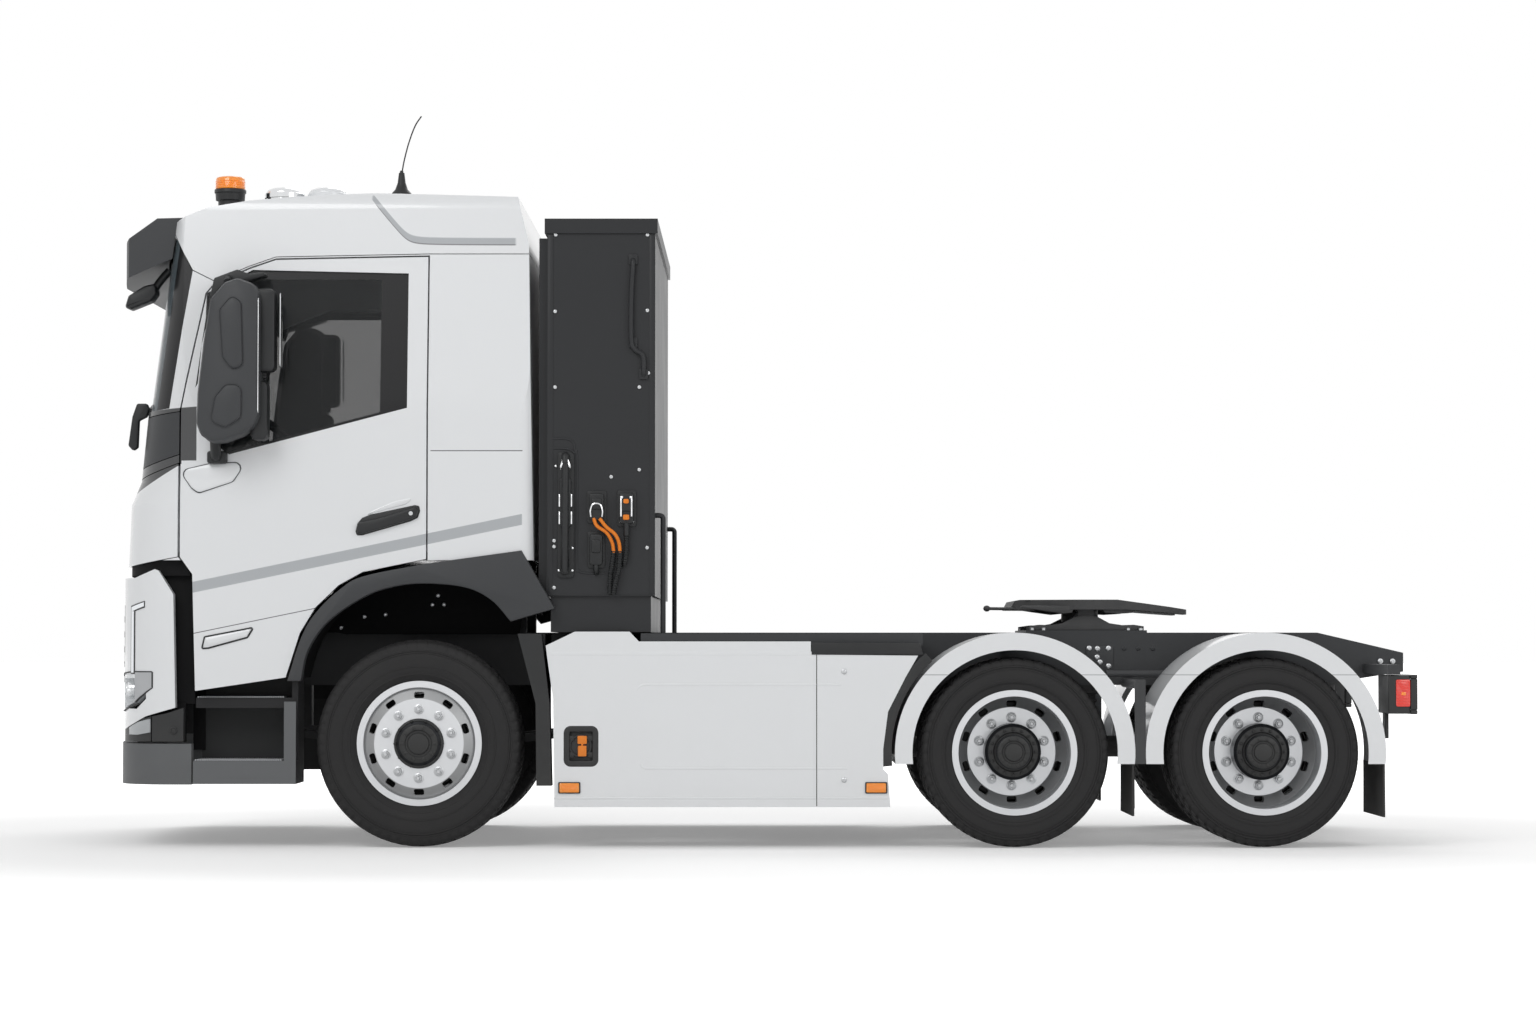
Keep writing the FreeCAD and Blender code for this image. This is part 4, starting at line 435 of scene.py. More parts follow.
def plain_white(name="white_panel_paint", seam_height=None):
    finish = Finish(name, WHITE, 0.3, coat=0.6)
    if seam_height:
        finish.paint(finish.where()[3].near(seam_height, 0.002, 0.002), (0.35, 0.36, 0.37))
    wave_peel(finish)
    return road_dust(finish, 1.2, 0.1)


def moulded(name, colour, roughness=0.5, scale=700):
    """Moulded plastic: a fine leather grain and faint mottling."""
    finish = Finish(name, colour, roughness, specular_ior_level=0.3)
    finish.paint(finish.noise(6, 3) * 0.25, tuple(min(1, c * 1.35 + 0.01) for c in colour))
    return road_dust(speckle(finish, scale, 0.00025, 0.12), 1.2, 0.1)


def sprayed_steel(name, colour, roughness):
    finish = Finish(name, colour, roughness, specular_ior_level=0.25)
    return road_dust(speckle(finish, 260, 0.00025, 0.14), 1.1, 0.14)


def cast():
    finish = Finish("cast_metal", (0.045, 0.046, 0.048), 0.62, metallic=0.2, specular_ior_level=0.3)
    finish.bump(finish.noise(160, 4, 0.7), 0.0009)
    finish.paint(finish.noise(14, 5) * 0.3, (0.14, 0.135, 0.13))
    return road_dust(finish, 0.9)


def tyre_rubber():
    """Black rubber, browner and duller in patches, with a fine grain."""
    finish = Finish("tyre_rubber", (0.016, 0.016, 0.017), 0.72, specular_ior_level=0.3)
    finish.paint(finish.noise(5, 5, 0.6) * 0.35, (0.04, 0.038, 0.036))
    finish.bump(finish.noise(420, 3), 0.0004)
    return finish.material


def wheel_metal(name, x_centre, z_centre, hub_radius):
    """Brushed silver wheels: rings of faint brushing about the axle, and a black hub inside its radius."""
    finish = Finish(name, (0.6, 0.61, 0.625), 0.33, metallic=0.85)
    _, x, y, z = finish.where()
    along, up = x - x_centre, z - z_centre
    radius = (along * along + up * up).maths("SQRT")
    rings = finish.add("ShaderNodeCombineXYZ", inputs={0: radius, 1: y * 0.2, 2: 0.0})
    finish.bump(
        finish.add("ShaderNodeTexNoise", inputs={"Vector": rings, "Scale": 420.0, "Detail": 2.0}), 0.00012)
    finish.paint(finish.noise(9, 4) * 0.2, (0.46, 0.47, 0.48))
    finish.paint(radius.between(0.219, 0.272, 0.004), (0.36, 0.365, 0.37), 0.42)
    finish.paint(1 - radius.above(hub_radius, 0.002), (0.02, 0.021, 0.023), 0.5)
    return finish.material


def step_plastic():
    """The entry: grey where it is flush with the cab's side, black in the well behind."""
    finish = Finish("step_plastic", (0.012, 0.012, 0.013), 0.55, specular_ior_level=0.3)
    _, x, y, z = finish.where()
    flush = y.size().above(1.236, 0.002) * (1 - z.above(0.427, 0.002)).most(x.above(-2.334, 0.002))
    finish.paint((1 - z.above(0.695, 0.004)) * (1 - y.size().above(SIDE_Y, 0.01)), (0.032, 0.033, 0.034), 0.6)
    finish.paint(flush, (0.13, 0.135, 0.14), 0.5)
    return speckle(finish, 700, 0.00025, 0.1).material


def tinted_glass(name, colour, alpha, border=None):
    """Glass whose border, where one is given, is printed black: a mask made from the point's x and z."""
    finish = Finish(name, colour, 0.03, alpha=alpha, coat=0.1, specular_ior_level=0.3)
    if border:
        _, x, _, z = finish.where()
        mask = border(x, z)
        finish.paint(mask, (0.006, 0.006, 0.007), 0.25)
        finish.set("Alpha", mask * (1 - alpha) + alpha)
    finish.bump(finish.noise(2.5, 1), 0.0006)
    return finish.material


def lamp_glass(name, colour, glow=0.0, transmission=0.55):
    finish = Finish(name, colour, 0.08, coat=0.6, transmission_weight=transmission, ior=1.5)
    if glow:
        finish.set("Emission Color", (*colour, 1))
        finish.set("Emission Strength", glow)
    finish.bump(finish.noise(260, 1), 0.0002)
    return finish.material


def cloth():
    """Seat cloth: a fine crossed weave in bump and colour."""
    finish = Finish("seat_cloth", (0.055, 0.057, 0.062), 0.85, sheen_weight=0.3)
    _, x, y, z = finish.where()
    weave = (x * 900).maths("SINE") * (z * 900 + y * 400).maths("SINE")
    finish.bump(weave, 0.0004)
    finish.paint(weave * 0.5 + 0.2, (0.1, 0.1, 0.11))
    return finish.material


def door_border(x, z):
    return x.above(-1.872).most(z.above(2.776)).most(1 - (z - x * 0.262).above(2.6125))


def screen_border(x, z):
    return (x - z * 0.136).above(-3.27)


PAINT = body_paint()
PANEL_PAINT = plain_white()
GUARD_PAINT = plain_white("white_guard_paint", 0.842)
STEEL = sprayed_steel("satin_black_steel", (0.024, 0.025, 0.027), 0.38)
FRAME_STEEL = sprayed_steel("frame_paint", (0.045, 0.047, 0.05), 0.48)
TRIM = moulded("anthracite_trim", ANTHRACITE, 0.46)
BLACK_TRIM = moulded("black_trim", (0.017, 0.018, 0.019), 0.42)
# Near-black with little sheen; as the gap sheets and the step sheet it stands for painted shade.
DEEP_BLACK = Finish("deep_black", (0.006, 0.006, 0.0065), 0.7, specular_ior_level=0.12).material
LAMP_SILVER = moulded("lamp_silver", (0.46, 0.47, 0.485), 0.3)
BUMPER_GREY = moulded("bumper_grey", (0.105, 0.11, 0.115))
STEP_PLASTIC = step_plastic()
STRIP_GREY = moulded("light_grey_trim", (0.52, 0.53, 0.55), 0.42)
CAST = cast()
RUBBER = tyre_rubber()
FLAP_RUBBER = moulded("flap_rubber", (0.02, 0.02, 0.021), 0.7, 300)
DOOR_GLASS = tinted_glass("door_glass_tint", (0.02, 0.022, 0.023), 0.42, door_border)
SCREEN_GLASS = tinted_glass("windscreen_tint", (0.1, 0.125, 0.14), 0.7, screen_border)
ORANGE = moulded("orange_lead", (0.8, 0.22, 0.02))
LENS = lamp_glass("clear_lens", (0.78, 0.82, 0.85))
RED_LENS = lamp_glass("red_lens", (0.72, 0.03, 0.015), 0.22, 0.1)
AMBER_LENS = lamp_glass("amber_lens", (0.95, 0.3, 0.02), 0.15, 0.2)
DAY_LENS = lamp_glass("day_light_strip", (0.9, 0.93, 0.96), 0.1, 0.0)
COVER = tinted_glass("lamp_cover", (0.8, 0.84, 0.87), 0.22)
LENS_WHITE = moulded("blank_plate_white", (0.75, 0.75, 0.74), 0.4)
CLOTH = cloth()
CHROME = Finish("bright_metal", (0.72, 0.73, 0.74), 0.14, metallic=1.0).material
ZINC = speckle(Finish("zinc_bolts", (0.5, 0.51, 0.52), 0.38, metallic=0.9), 500, 0.0002).material

FRONT_X, REAR_ONE_X, REAR_TWO_X = -1.682, 1.221, 2.44
FRONT_R, REAR_R = 0.507, 0.463

FINISHES = {
    PAINT: ("cab_shell", "cab_roof", "front_panel", "door_left", "door_right"),
    PANEL_PAINT: ("lower_front_panel", "side_skirts", "charging_inlet"),
    GUARD_PAINT: ("rear_mudguards",),
    TRIM: ("cowl_panel", "sun_visor", "arch_flares", "mirror_left", "mirror_right"),
    BLACK_TRIM: ("front_mudguards", "dashboard"),
    DEEP_BLACK: ("lower_front_insert",),
    BUMPER_GREY: ("bumper",),
    STEP_PLASTIC: ("entry_steps",),
    STEEL: ("battery_tower", "tower_cradle", "side_batteries", "drive_unit", "tower_plugs"),
    FRAME_STEEL: ("frame_rails", "cab_mounts", "tilt_arms", "front_axle", "front_suspension", "deck_plates",
                  "fifth_wheel_base", "mudguard_stays", "front_hangers", "knuckle_left", "knuckle_right",
                  "tie_rod"),
    CAST: ("fifth_wheel_plate", "drive_axles"),
    FLAP_RUBBER: ("mud_flaps", "rear_air_springs"),
    DOOR_GLASS: ("door_glass_left", "door_glass_right"),
    SCREEN_GLASS: ("windscreen",),
    ORANGE: ("tower_leads",),
    LENS: ("headlamps",),
    RED_LENS: ("tail_lamps",),
    AMBER_LENS: ("roof_fittings",),
    CLOTH: ("seats",),
    RUBBER: ("tyre_front_left", "tyre_front_right", "tyres_rear1_left", "tyres_rear1_right",
             "tyres_rear2_left", "tyres_rear2_right"),
    wheel_metal("front_wheel_metal", FRONT_X, FRONT_R, 0.122): ("rim_front_left", "rim_front_right"),
    wheel_metal("middle_wheel_metal", REAR_ONE_X, REAR_R, 0.138): ("rims_rear1_left", "rims_rear1_right"),
    wheel_metal("rear_wheel_metal", REAR_TWO_X, REAR_R, 0.138): ("rims_rear2_left", "rims_rear2_right"),
}


def give_finishes():
    for finish, names in FINISHES.items():
        for name in names:
            for slot in nodes[name].material_slots:
                slot.material = finish


give_finishes()


# Wheels

FRONT_HALF, REAR_HALF = 0.155, 0.1425
BEAD_HALF, BEAD_R = 0.112, 0.2875
NUT_RING, NUT_SIZE, NUT_HEIGHT, STUD = 0.1675, 0.019, 0.026, 0.014


def tyre_section(half, radius, tread_half, crown):
    """Half a tyre's smooth outline from the crown's middle to the bead, as (across, radius) points."""
    side = (radius + BEAD_R) / 2
    tread = np.column_stack([np.linspace(0, tread_half, 25), radius - crown * np.linspace(0, 1, 25) ** 2.2])
    wall = smooth_line([(tread_half, radius - crown), (half * 0.955, radius - crown - 0.016),
        (half * 0.985, radius - crown - 0.055), (half, side + 0.02), (half * 0.985, side - 0.03),
        (half * 0.93, BEAD_R + 0.05), (BEAD_HALF + 0.012, BEAD_R + 0.022), (BEAD_HALF, BEAD_R + 0.01),
        (BEAD_HALF - 0.008, BEAD_R)], 4)
    return np.concatenate([tread, wall[1:]])


def tyre_shell(half, radius, tread_half, crown, grooves, pitches, block_depth):
    """A tyre about +Z. Its radius at an angle and a place across is the section's, less a groove's depth
    where the place lies in one of the ring grooves, or where the angle lies in a cross slot between two
    blocks."""
    samples, slot_share = 6, 0.22
    section = tyre_section(half, radius, tread_half, crown)
    section = np.concatenate([section[:0:-1] * [-1, 1], section])
    place, height = section[:, :1], section[:, 1:]
    out = np.abs(place)
    turn = np.arange(pitches * samples)[None] / samples
    cross = (((turn + 0.9 * out / tread_half) % 1.0) < slot_share).astype(float)
    ring = np.zeros_like(out)
    for centre, width in grooves:
        ring = np.maximum(ring, (np.abs(out - centre) < width / 2).astype(float))
    on_tread = (out <= tread_half * 1.001) & (height > radius - crown - 0.03)
    edge = np.clip((out / tread_half - 0.66) / 0.02, 0, 1)
    cut = np.maximum(ring * 0.013, cross * (0.005 + block_depth * edge)) * on_tread
    wall_slot = cross * (out > tread_half) * np.clip((height - (radius - crown - 0.034)) / 0.012, 0, 1)
    depth = height - cut
    inward = place - np.sign(place) * wall_slot * 0.006
    angle = turn / pitches * 2 * math.pi
    points = np.stack([depth * np.cos(angle), depth * np.sin(angle), np.broadcast_to(inward, depth.shape)],
        axis=-1)
    return grid(points, wrap_across=True)


def sidewall_rings(half, radius):
    """Raised rings on both walls: a low ridge at each of four radii, as bands that follow the wall."""
    side = (radius + BEAD_R) / 2
    bands = []
    levels = ((radius - 0.055, 0.987), (side + 0.045, 1.0), (side - 0.022, 0.994), (BEAD_R + 0.052, 0.935))
    for level, out in levels:
        z = half * out
        bands.append(lathe([(z - 0.006, level - 0.006), (z + 0.0012, level - 0.0025),
                            (z + 0.0012, level + 0.0025), (z - 0.006, level + 0.006)], 120))
    shell = turned_over(joined(*bands))
    return joined(shell, facing(shell, 2, -1))


def in_ring(shell, count, radius, height, start=0.0):
    """Copies of a shell on a circle about +Z at a height, each turned with its place."""
    angles = np.arange(count) / count * 2 * math.pi + start
    places = np.column_stack([np.cos(angles) * radius, np.sin(angles) * radius, np.full(count, height)])
    return at_places(shell, places, angles, axis=2)


def wheel_bolts():
    """Ten hexagon nuts on their ring, each with a washer and the stud's rounded end, about +Z."""
    levels = [(1.0, 0.003), (1.0, NUT_HEIGHT - 0.003), (0.88, NUT_HEIGHT)]
    hexagon = np.stack([np.column_stack([circle(6) * NUT_SIZE * scale, np.full(6, z)])
                        for scale, z in levels])
    points, faces = grid(hexagon, wrap_across=True)
    nut = points, faces + [np.arange(12, 18)[None]]
    washer = lathe([(0.0, NUT_SIZE * 1.32), (0.003, NUT_SIZE * 1.32), (0.0045, NUT_SIZE * 1.2),
        (0.0045, 0.001)], 20)
    end = lathe([(NUT_HEIGHT - 0.004, 0.0105), (NUT_HEIGHT + STUD * 0.7, 0.0105), (NUT_HEIGHT + STUD, 0.008),
                 (NUT_HEIGHT + STUD, 0.0004)], 14)
    return in_ring(joined(washer, nut, end), 10, NUT_RING, 0.0, math.pi / 10)


def placed(shell, x, y, z, side):
    """A wheel shell about +Z, laid with its +Z out from the truck's side and its middle at a point."""
    return moved(facing(shell, 1, side), x, y, z)


def hub_cover(face, rim, cap, bolts):
    """A hub's black cover about +Z: a stepped ring with a circle of small bolts."""
    ring = lathe([(face - 0.004, rim), (face + 0.006, rim), (face + 0.009, rim - 0.004),
        (face + 0.009, cap + 0.012), (face + 0.004, cap + 0.006), (face + 0.004, cap - 0.01)], 60)
    bolt = lathe([(0, 0.0075), (0.006, 0.0075), (0.009, 0.005), (0.009, 0.0004)], 8)
    return joined(ring, in_ring(bolt, bolts, (rim + cap + 0.012) / 2, face + 0.008))


def cap_cover(face, radius):
    """The domed middle of a hub about +Z, with a ring of notches round it."""
    dome = lathe([(face - 0.004, radius), (face + 0.003, radius), (face + 0.006, radius - 0.004),
                  (face + 0.006, radius * 0.72), (face + 0.001, radius * 0.66), (face + 0.001, radius * 0.58),
                  (face + 0.009, radius * 0.53), (face + 0.012, radius * 0.35), (face + 0.013, 0.0005)])
    notch = block((radius * 0.74, -0.005, 0), (radius * 0.94, 0.005, 0.006), 0.001, 0.001)
    return joined(dome, in_ring(notch, 10, 0.0, face + 0.004))


def drum(near, far, radius):
    """A closed brake drum about +Z between two heights."""
    return lathe([(near, 0.145), (near, radius - 0.01), (near + 0.01, radius), (far - 0.01, radius),
                  (far, radius - 0.01), (far, 0.145), (near, 0.145)])


def make_wheels():
    """Treads, nuts and hubs, per axle: name, tread piece, tyre node, middle, tyre, rows, nuts' face, hub."""
    nuts = wheel_bolts()
    front = tyre_shell(FRONT_HALF, FRONT_R, 0.132, 0.01,
                       [(0.0, 0.011), (0.045, 0.012), (0.088, 0.012)], 60, 0.003)
    twin = tyre_shell(REAR_HALF, REAR_R, 0.122, 0.009, [(0.028, 0.01), (0.08, 0.01)], 52, 0.012)
    front = joined(front, sidewall_rings(FRONT_HALF, FRONT_R))
    twin = joined(twin, sidewall_rings(REAR_HALF, REAR_R))
    front_hub = joined(cap_cover(1.206, 0.094), hub_cover(1.194, 0.119, 0.099, 10), drum(1.005, 1.095, 0.24))
    rear_hub = joined(cap_cover(1.135, 0.08), hub_cover(1.08, 0.123, 0.086, 16), drum(0.64, 0.86, 0.25))
    rear = (REAR_R, twin, (0.75, 1.08), 0.949, rear_hub)
    axles = (("front", "tread", "tyre_front", FRONT_X, FRONT_R, front, (1.034,), 1.182, front_hub),
             ("rear1", "treads", "tyres_rear1", REAR_ONE_X, *rear),
             ("rear2", "treads", "tyres_rear2", REAR_TWO_X, *rear))
    for side, word in ((-1, "left"), (1, "right")):
        for axle, tread, node, x, radius, tyre, rows, nut_face, hub in axles:
            body = f"wheel_{axle}_{word}"
            tyres = joined(*(placed(tyre, x, side * y, radius, side) for y in rows))
            piece(f"{axle}_{tread}_{word}", tyres, RUBBER, body, 50, (f"{node}_{word}",))
            piece(f"{axle}_nuts_{word}", placed(nuts, x, side * nut_face, radius, side), ZINC, body)
            piece(f"{axle}_hub_{word}", placed(hub, x, 0, radius, side), BLACK_TRIM, body)


make_wheels()


# Roof: beacon, low domes and antenna

ROOF_ROW = -0.8
ROOF_TOP = 3.236


def make_roof_fittings():
    lens = lathe([(0.0, 0.07), (0.004, 0.074), (0.05, 0.0725), (0.058, 0.068), (0.0625, 0.058), (0.064, 0.03),
                  (0.0645, 0.0006)], 64)
    rib = lathe([(0.0, 0.0735), (0.0015, 0.0758), (0.003, 0.0735)])
    beacon = joined(lens, *(moved(rib, 0, 0, 0.01 + 0.009 * k) for k in range(4)))
    base = lathe([(-0.095, 0.06), (-0.06, 0.06), (-0.055, 0.072), (-0.022, 0.074), (-0.018, 0.079),
                  (-0.004, 0.079), (0.0, 0.076), (0.0, 0.001)])
    spot = (-2.668, ROOF_ROW, ROOF_TOP + 0.026)
    piece("beacon_lens", moved(beacon, *spot), AMBER_LENS, "cab", 30, ("roof_fittings",))
    piece("beacon_base", moved(base, *spot), BLACK_TRIM, "cab")
    dome = lathe([(-0.05, 0.094), (0.004, 0.094), (0.012, 0.092), (0.022, 0.083), (0.03, 0.062),
        (0.0345, 0.03), (0.0355, 0.0006)], 56)
    lip = lathe([(-0.02, 0.1), (0.002, 0.1), (0.005, 0.097), (0.005, 0.09)], 56)
    for name, x, finish in (("front_roof_dome", -2.395, CHROME), ("rear_roof_dome", -2.18, PANEL_PAINT)):
        piece(name, at_places(joined(dome, lip), (x, ROOF_ROW, ROOF_TOP)), finish, "cab")
    foot = lathe([(-0.05, 0.052), (0.0, 0.052), (0.01, 0.047), (0.026, 0.032), (0.06, 0.02), (0.11, 0.014),
                  (0.112, 0.0006)], 32)
    mast = tube([(0, 0, 0.1), (0.012, 0, 0.17), (0.035, 0, 0.26), (0.066, 0, 0.345), (0.098, 0, 0.395)],
                0.0035, 6, 8)
    collar = lathe([(0.1, 0.009), (0.118, 0.009), (0.122, 0.006), (0.122, 0.0004)], 16)
    piece("roof_aerial", moved(joined(foot, mast, collar), -1.812, ROOF_ROW, ROOF_TOP), BLACK_TRIM, "cab")


make_roof_fittings()


# Battery tower: screws, plugs, leads, ribs and the upright bar; shells stand out from y = nought

TOWER_SIDE = -1.185


def on_tower(*shells):
    return moved(joined(*shells), 0, TOWER_SIDE, 0)


def screw_heads(places, face, radius=0.01):
    """Screw heads with a round sunken socket on a left side's face, at (x, z) places: low domes with a rim.
    """
    dome = lathe([(0.0, radius), (0.003, radius * 0.98), (0.0052, radius * 0.8), (0.006, radius * 0.45),
                  (0.0035, radius * 0.4), (0.0035, 0.0004)], 14)
    places = np.asarray(places, float)
    return at_places(facing(dome, 1, -1), np.insert(places, 1, face, axis=1))


def plug_body(x, z, wide, tall):
    """A cable plug on the tower's side: base flange, raised body with a rounded front, and a brow."""
    half, up = wide / 2, tall / 2
    low, high = (x - half - 0.012, z - up - 0.014), (x + half + 0.012, z + up + 0.014)
    flange = bar(low, high, 0.01, 0, 0.003, 0.012)
    body = bar((x - half, z - up), (x + half, z + up), 0.046, 0, 0.008, 0.014)
    brow = bar((x - wide * 0.36, z - tall * 0.1), (x + wide * 0.36, z + tall * 0.32), 0.056, 0, 0.006, 0.01)
    return joined(flange, body, brow)


def corrugated(points, radius):
    """A ribbed conduit along a smooth line: its round section swells and shrinks once in each pitch."""
    pitch = 0.011
    path = smooth_line(points, 16)
    run = run_along(path)
    even = np.linspace(0, run[-1], max(8, int(run[-1] / pitch * 4)))
    path = np.stack([np.interp(even, run, path[:, k]) for k in range(3)], axis=1)
    return swept(path, circle(12) * radius, scale=1 + 0.14 * np.sign(np.sin(even / pitch * 2 * math.pi)))


def run_along(path):
    """The distance from a path's start to each of its points."""
    return np.concatenate([[0], np.cumsum(np.linalg.norm(np.diff(path, axis=0), axis=1))])


def make_tower_screws():
    screws = [(-1.019, 2.994), (-0.57, 2.994), (-0.634, 2.862), (-1.021, 2.618), (-0.57, 2.623),
        (-1.021, 2.247), (-0.609, 2.247), (-0.565, 2.316), (-0.609, 1.843), (-0.746, 1.808), (-1.024, 1.496),
        (-1.024, 1.467), (-0.57, 1.462), (-1.024, 1.267)]
    piece("tower_screws", across(screw_heads(screws, TOWER_SIDE - 0.001)), ZINC, "chassis")


def make_tower_plugs():
    """The plugs on the cabinet's left side: flanges, bodies, latches and the leads that leave them."""
    lead = [(-0.968, -0.04, 1.885), (-0.968, -0.046, 1.8), (-0.968, -0.048, 1.6), (-0.969, -0.046, 1.45),
            (-0.97, -0.034, 1.345)]
    tall = joined(bar((-1.007, 1.314), (-0.927, 1.928), 0.012, 0, 0.003, 0.018),
        bar((-0.996, 1.56), (-0.94, 1.8), 0.044, 0, 0.008, 0.012),
        bar((-0.99, 1.33), (-0.95, 1.42), 0.04, 0, 0.008, 0.012), tube(lead, 0.0175, 8, 16),
        tube([(-0.968, -0.012, 1.905), (-0.968, -0.034, 1.905), (-0.968, -0.044, 1.87)], 0.021, 6, 16))
    bodies = joined(plug_body(-0.8155, 1.66, 0.072, 0.132), plug_body(-0.67, 1.653, 0.07, 0.15),
                    plug_body(-0.818, 1.451, 0.062, 0.152))
    boots = joined(tube([(-0.818, -0.03, 1.392), (-0.818, -0.028, 1.355), (-0.818, -0.01, 1.335)], 0.013),
                   tube([(-0.6708, -0.03, 1.585), (-0.6708, -0.03, 1.52)], 0.014))
    first = [(-0.7317, -0.03, 1.445), (-0.7397, -0.028, 1.38), (-0.748, -0.026, 1.3265),
        (-0.752, -0.022, 1.235)]
    second = [(-0.7009, -0.036, 1.445), (-0.706, -0.036, 1.36), (-0.7229, -0.034, 1.293),
        (-0.734, -0.026, 1.235)]
    third = [(-0.6708, -0.03, 1.522), (-0.6712, -0.029, 1.46), (-0.675, -0.026, 1.41),
        (-0.684, -0.002, 1.372)]
    conduits = joined(corrugated(first, 0.0115), corrugated(second, 0.0115), corrugated(third, 0.011))
    piece("tower_plug_set", on_tower(tall, bodies, boots, conduits), BLACK_TRIM, "chassis",
        replaces=("tower_plugs",))
    leads = (tube(points, 0.0088) for points in (
        [(-0.8299, -0.04, 1.605), (-0.8133, -0.044, 1.567), (-0.7664, -0.046, 1.5338),
         (-0.7397, -0.04, 1.487), (-0.7317, -0.031, 1.438)],
        [(-0.7999, -0.048, 1.602), (-0.7664, -0.056, 1.5606), (-0.7263, -0.056, 1.5272),
         (-0.7063, -0.048, 1.487), (-0.7009, -0.037, 1.438)]))
    piece("tower_orange_leads", on_tower(*leads), ORANGE, "chassis", replaces=("tower_leads",))
    bail = tube([(-0.843, -0.052, 1.612), (-0.845, -0.06, 1.64), (-0.836, -0.062, 1.668),
        (-0.8155, -0.062, 1.676), (-0.795, -0.062, 1.668), (-0.786, -0.06, 1.64), (-0.788, -0.052, 1.612)],
        0.0042, 6, 8)
    clips = [bar((x, z), (x + wide, z + tall), depth, 0, 0.002, 0.002) for x, z, wide, tall, depth in
             ((-0.7, 1.612, 0.008, 0.093, 0.06), (-0.648, 1.612, 0.008, 0.093, 0.06),
              (-0.7, 1.7, 0.014, 0.012, 0.064), (-0.654, 1.7, 0.014, 0.012, 0.064))]
    clamps = [tube([(x, -0.04, 1.845), (x, -0.052, 1.86), (x + lean, -0.05, 1.895)], 0.006, 5, 8)
              for x, lean in ((-0.988, 0.012), (-0.947, -0.012))]
    hooks = [bar((x, z), (x + 0.007, z + 0.062), 0.05, 0, 0.002, 0.002) for x in (-1.0, -0.941)
             for z in (1.575, 1.66)]
    studs = screw_heads([(-0.834, 1.708), (-0.797, 1.708), (-0.836, 1.404), (-0.8, 1.404), (-0.64, 1.588),
                         (-0.7, 1.588), (-1.0, 1.35), (-0.934, 1.35), (-0.934, 1.46), (-1.016, 1.86)],
                        -0.013, 0.0062)
    piece("tower_latches", on_tower(bail, *clips, *clamps, *hooks, studs), CHROME, "chassis")
    tab = bar((-0.684, 1.676), (-0.658, 1.698), 0.066, 0, 0.003, 0.006)
    collar = bar((-0.686, 1.596), (-0.656, 1.622), 0.062, 0, 0.004, 0.006)
    piece("tower_plug_tabs", on_tower(tab, collar), ORANGE, "chassis")


def make_tower_ribs():
    """Pressed ribs on the cabinet's side, its front strip, the edge bar and the base seam."""
    lines = [[(-1.045, 0, 1.994), (-0.965, 0, 1.994), (-0.932, 0, 1.975), (-0.922, 0, 1.935)],
             [(-1.045, 0, 1.948), (-0.96, 0, 1.945), (-0.927, 0, 1.925), (-0.913, 0, 1.89), (-0.913, 0, 1.4),
              (-0.905, 0, 1.352), (-0.87, 0, 1.338), (-0.775, 0, 1.338)]]
    ribs = [swept(smooth_line(line), circle(8) * [0.006, 0.004]) for line in lines]
    seams = joined(bar((-1.058, 1.2275), (-0.536, 1.2335), 0.0035, 0, 0.001),
                   bar((-1.056, 1.236), (-1.03, 2.995), 0.0025, 0, 0.001),
                   bar((-0.56, 1.236), (-0.536, 2.995), 0.0025, 0, 0.001))
    edge_bar = tube([(-0.64, -0.004, 2.872), (-0.64, -0.02, 2.845), (-0.648, -0.022, 2.7),
        (-0.648, -0.022, 2.48), (-0.63, -0.02, 2.43), (-0.592, -0.018, 2.4), (-0.588, -0.016, 2.33),
        (-0.588, -0.004, 2.3)], 0.0125)
    feet = [bar((x - 0.022, z - 0.026), (x + 0.022, z + 0.026), 0.012, 0, 0.003, 0.008)
            for x, z in ((-0.64, 2.872), (-0.64, 2.465), (-0.588, 2.31))]
    shell = joined(on_tower(*ribs, seams, edge_bar, *feet), other_side(on_tower(seams)))
    piece("tower_ribs", shell, STEEL, "chassis")


make_tower_screws()
make_tower_plugs()
make_tower_ribs()


# Skirts: pressed lines, seam, bolts, marker lamps and the charging inlet

SKIRT_SIDE = -1.242


def raised_line(points, wide, tall=0.0014):
    """A thin pressed line on the skirt: a low half-round section carried along its (x, z) points."""
    return swept([(x, SKIRT_SIDE, z) for x, z in points], circle(8) * [wide, tall])


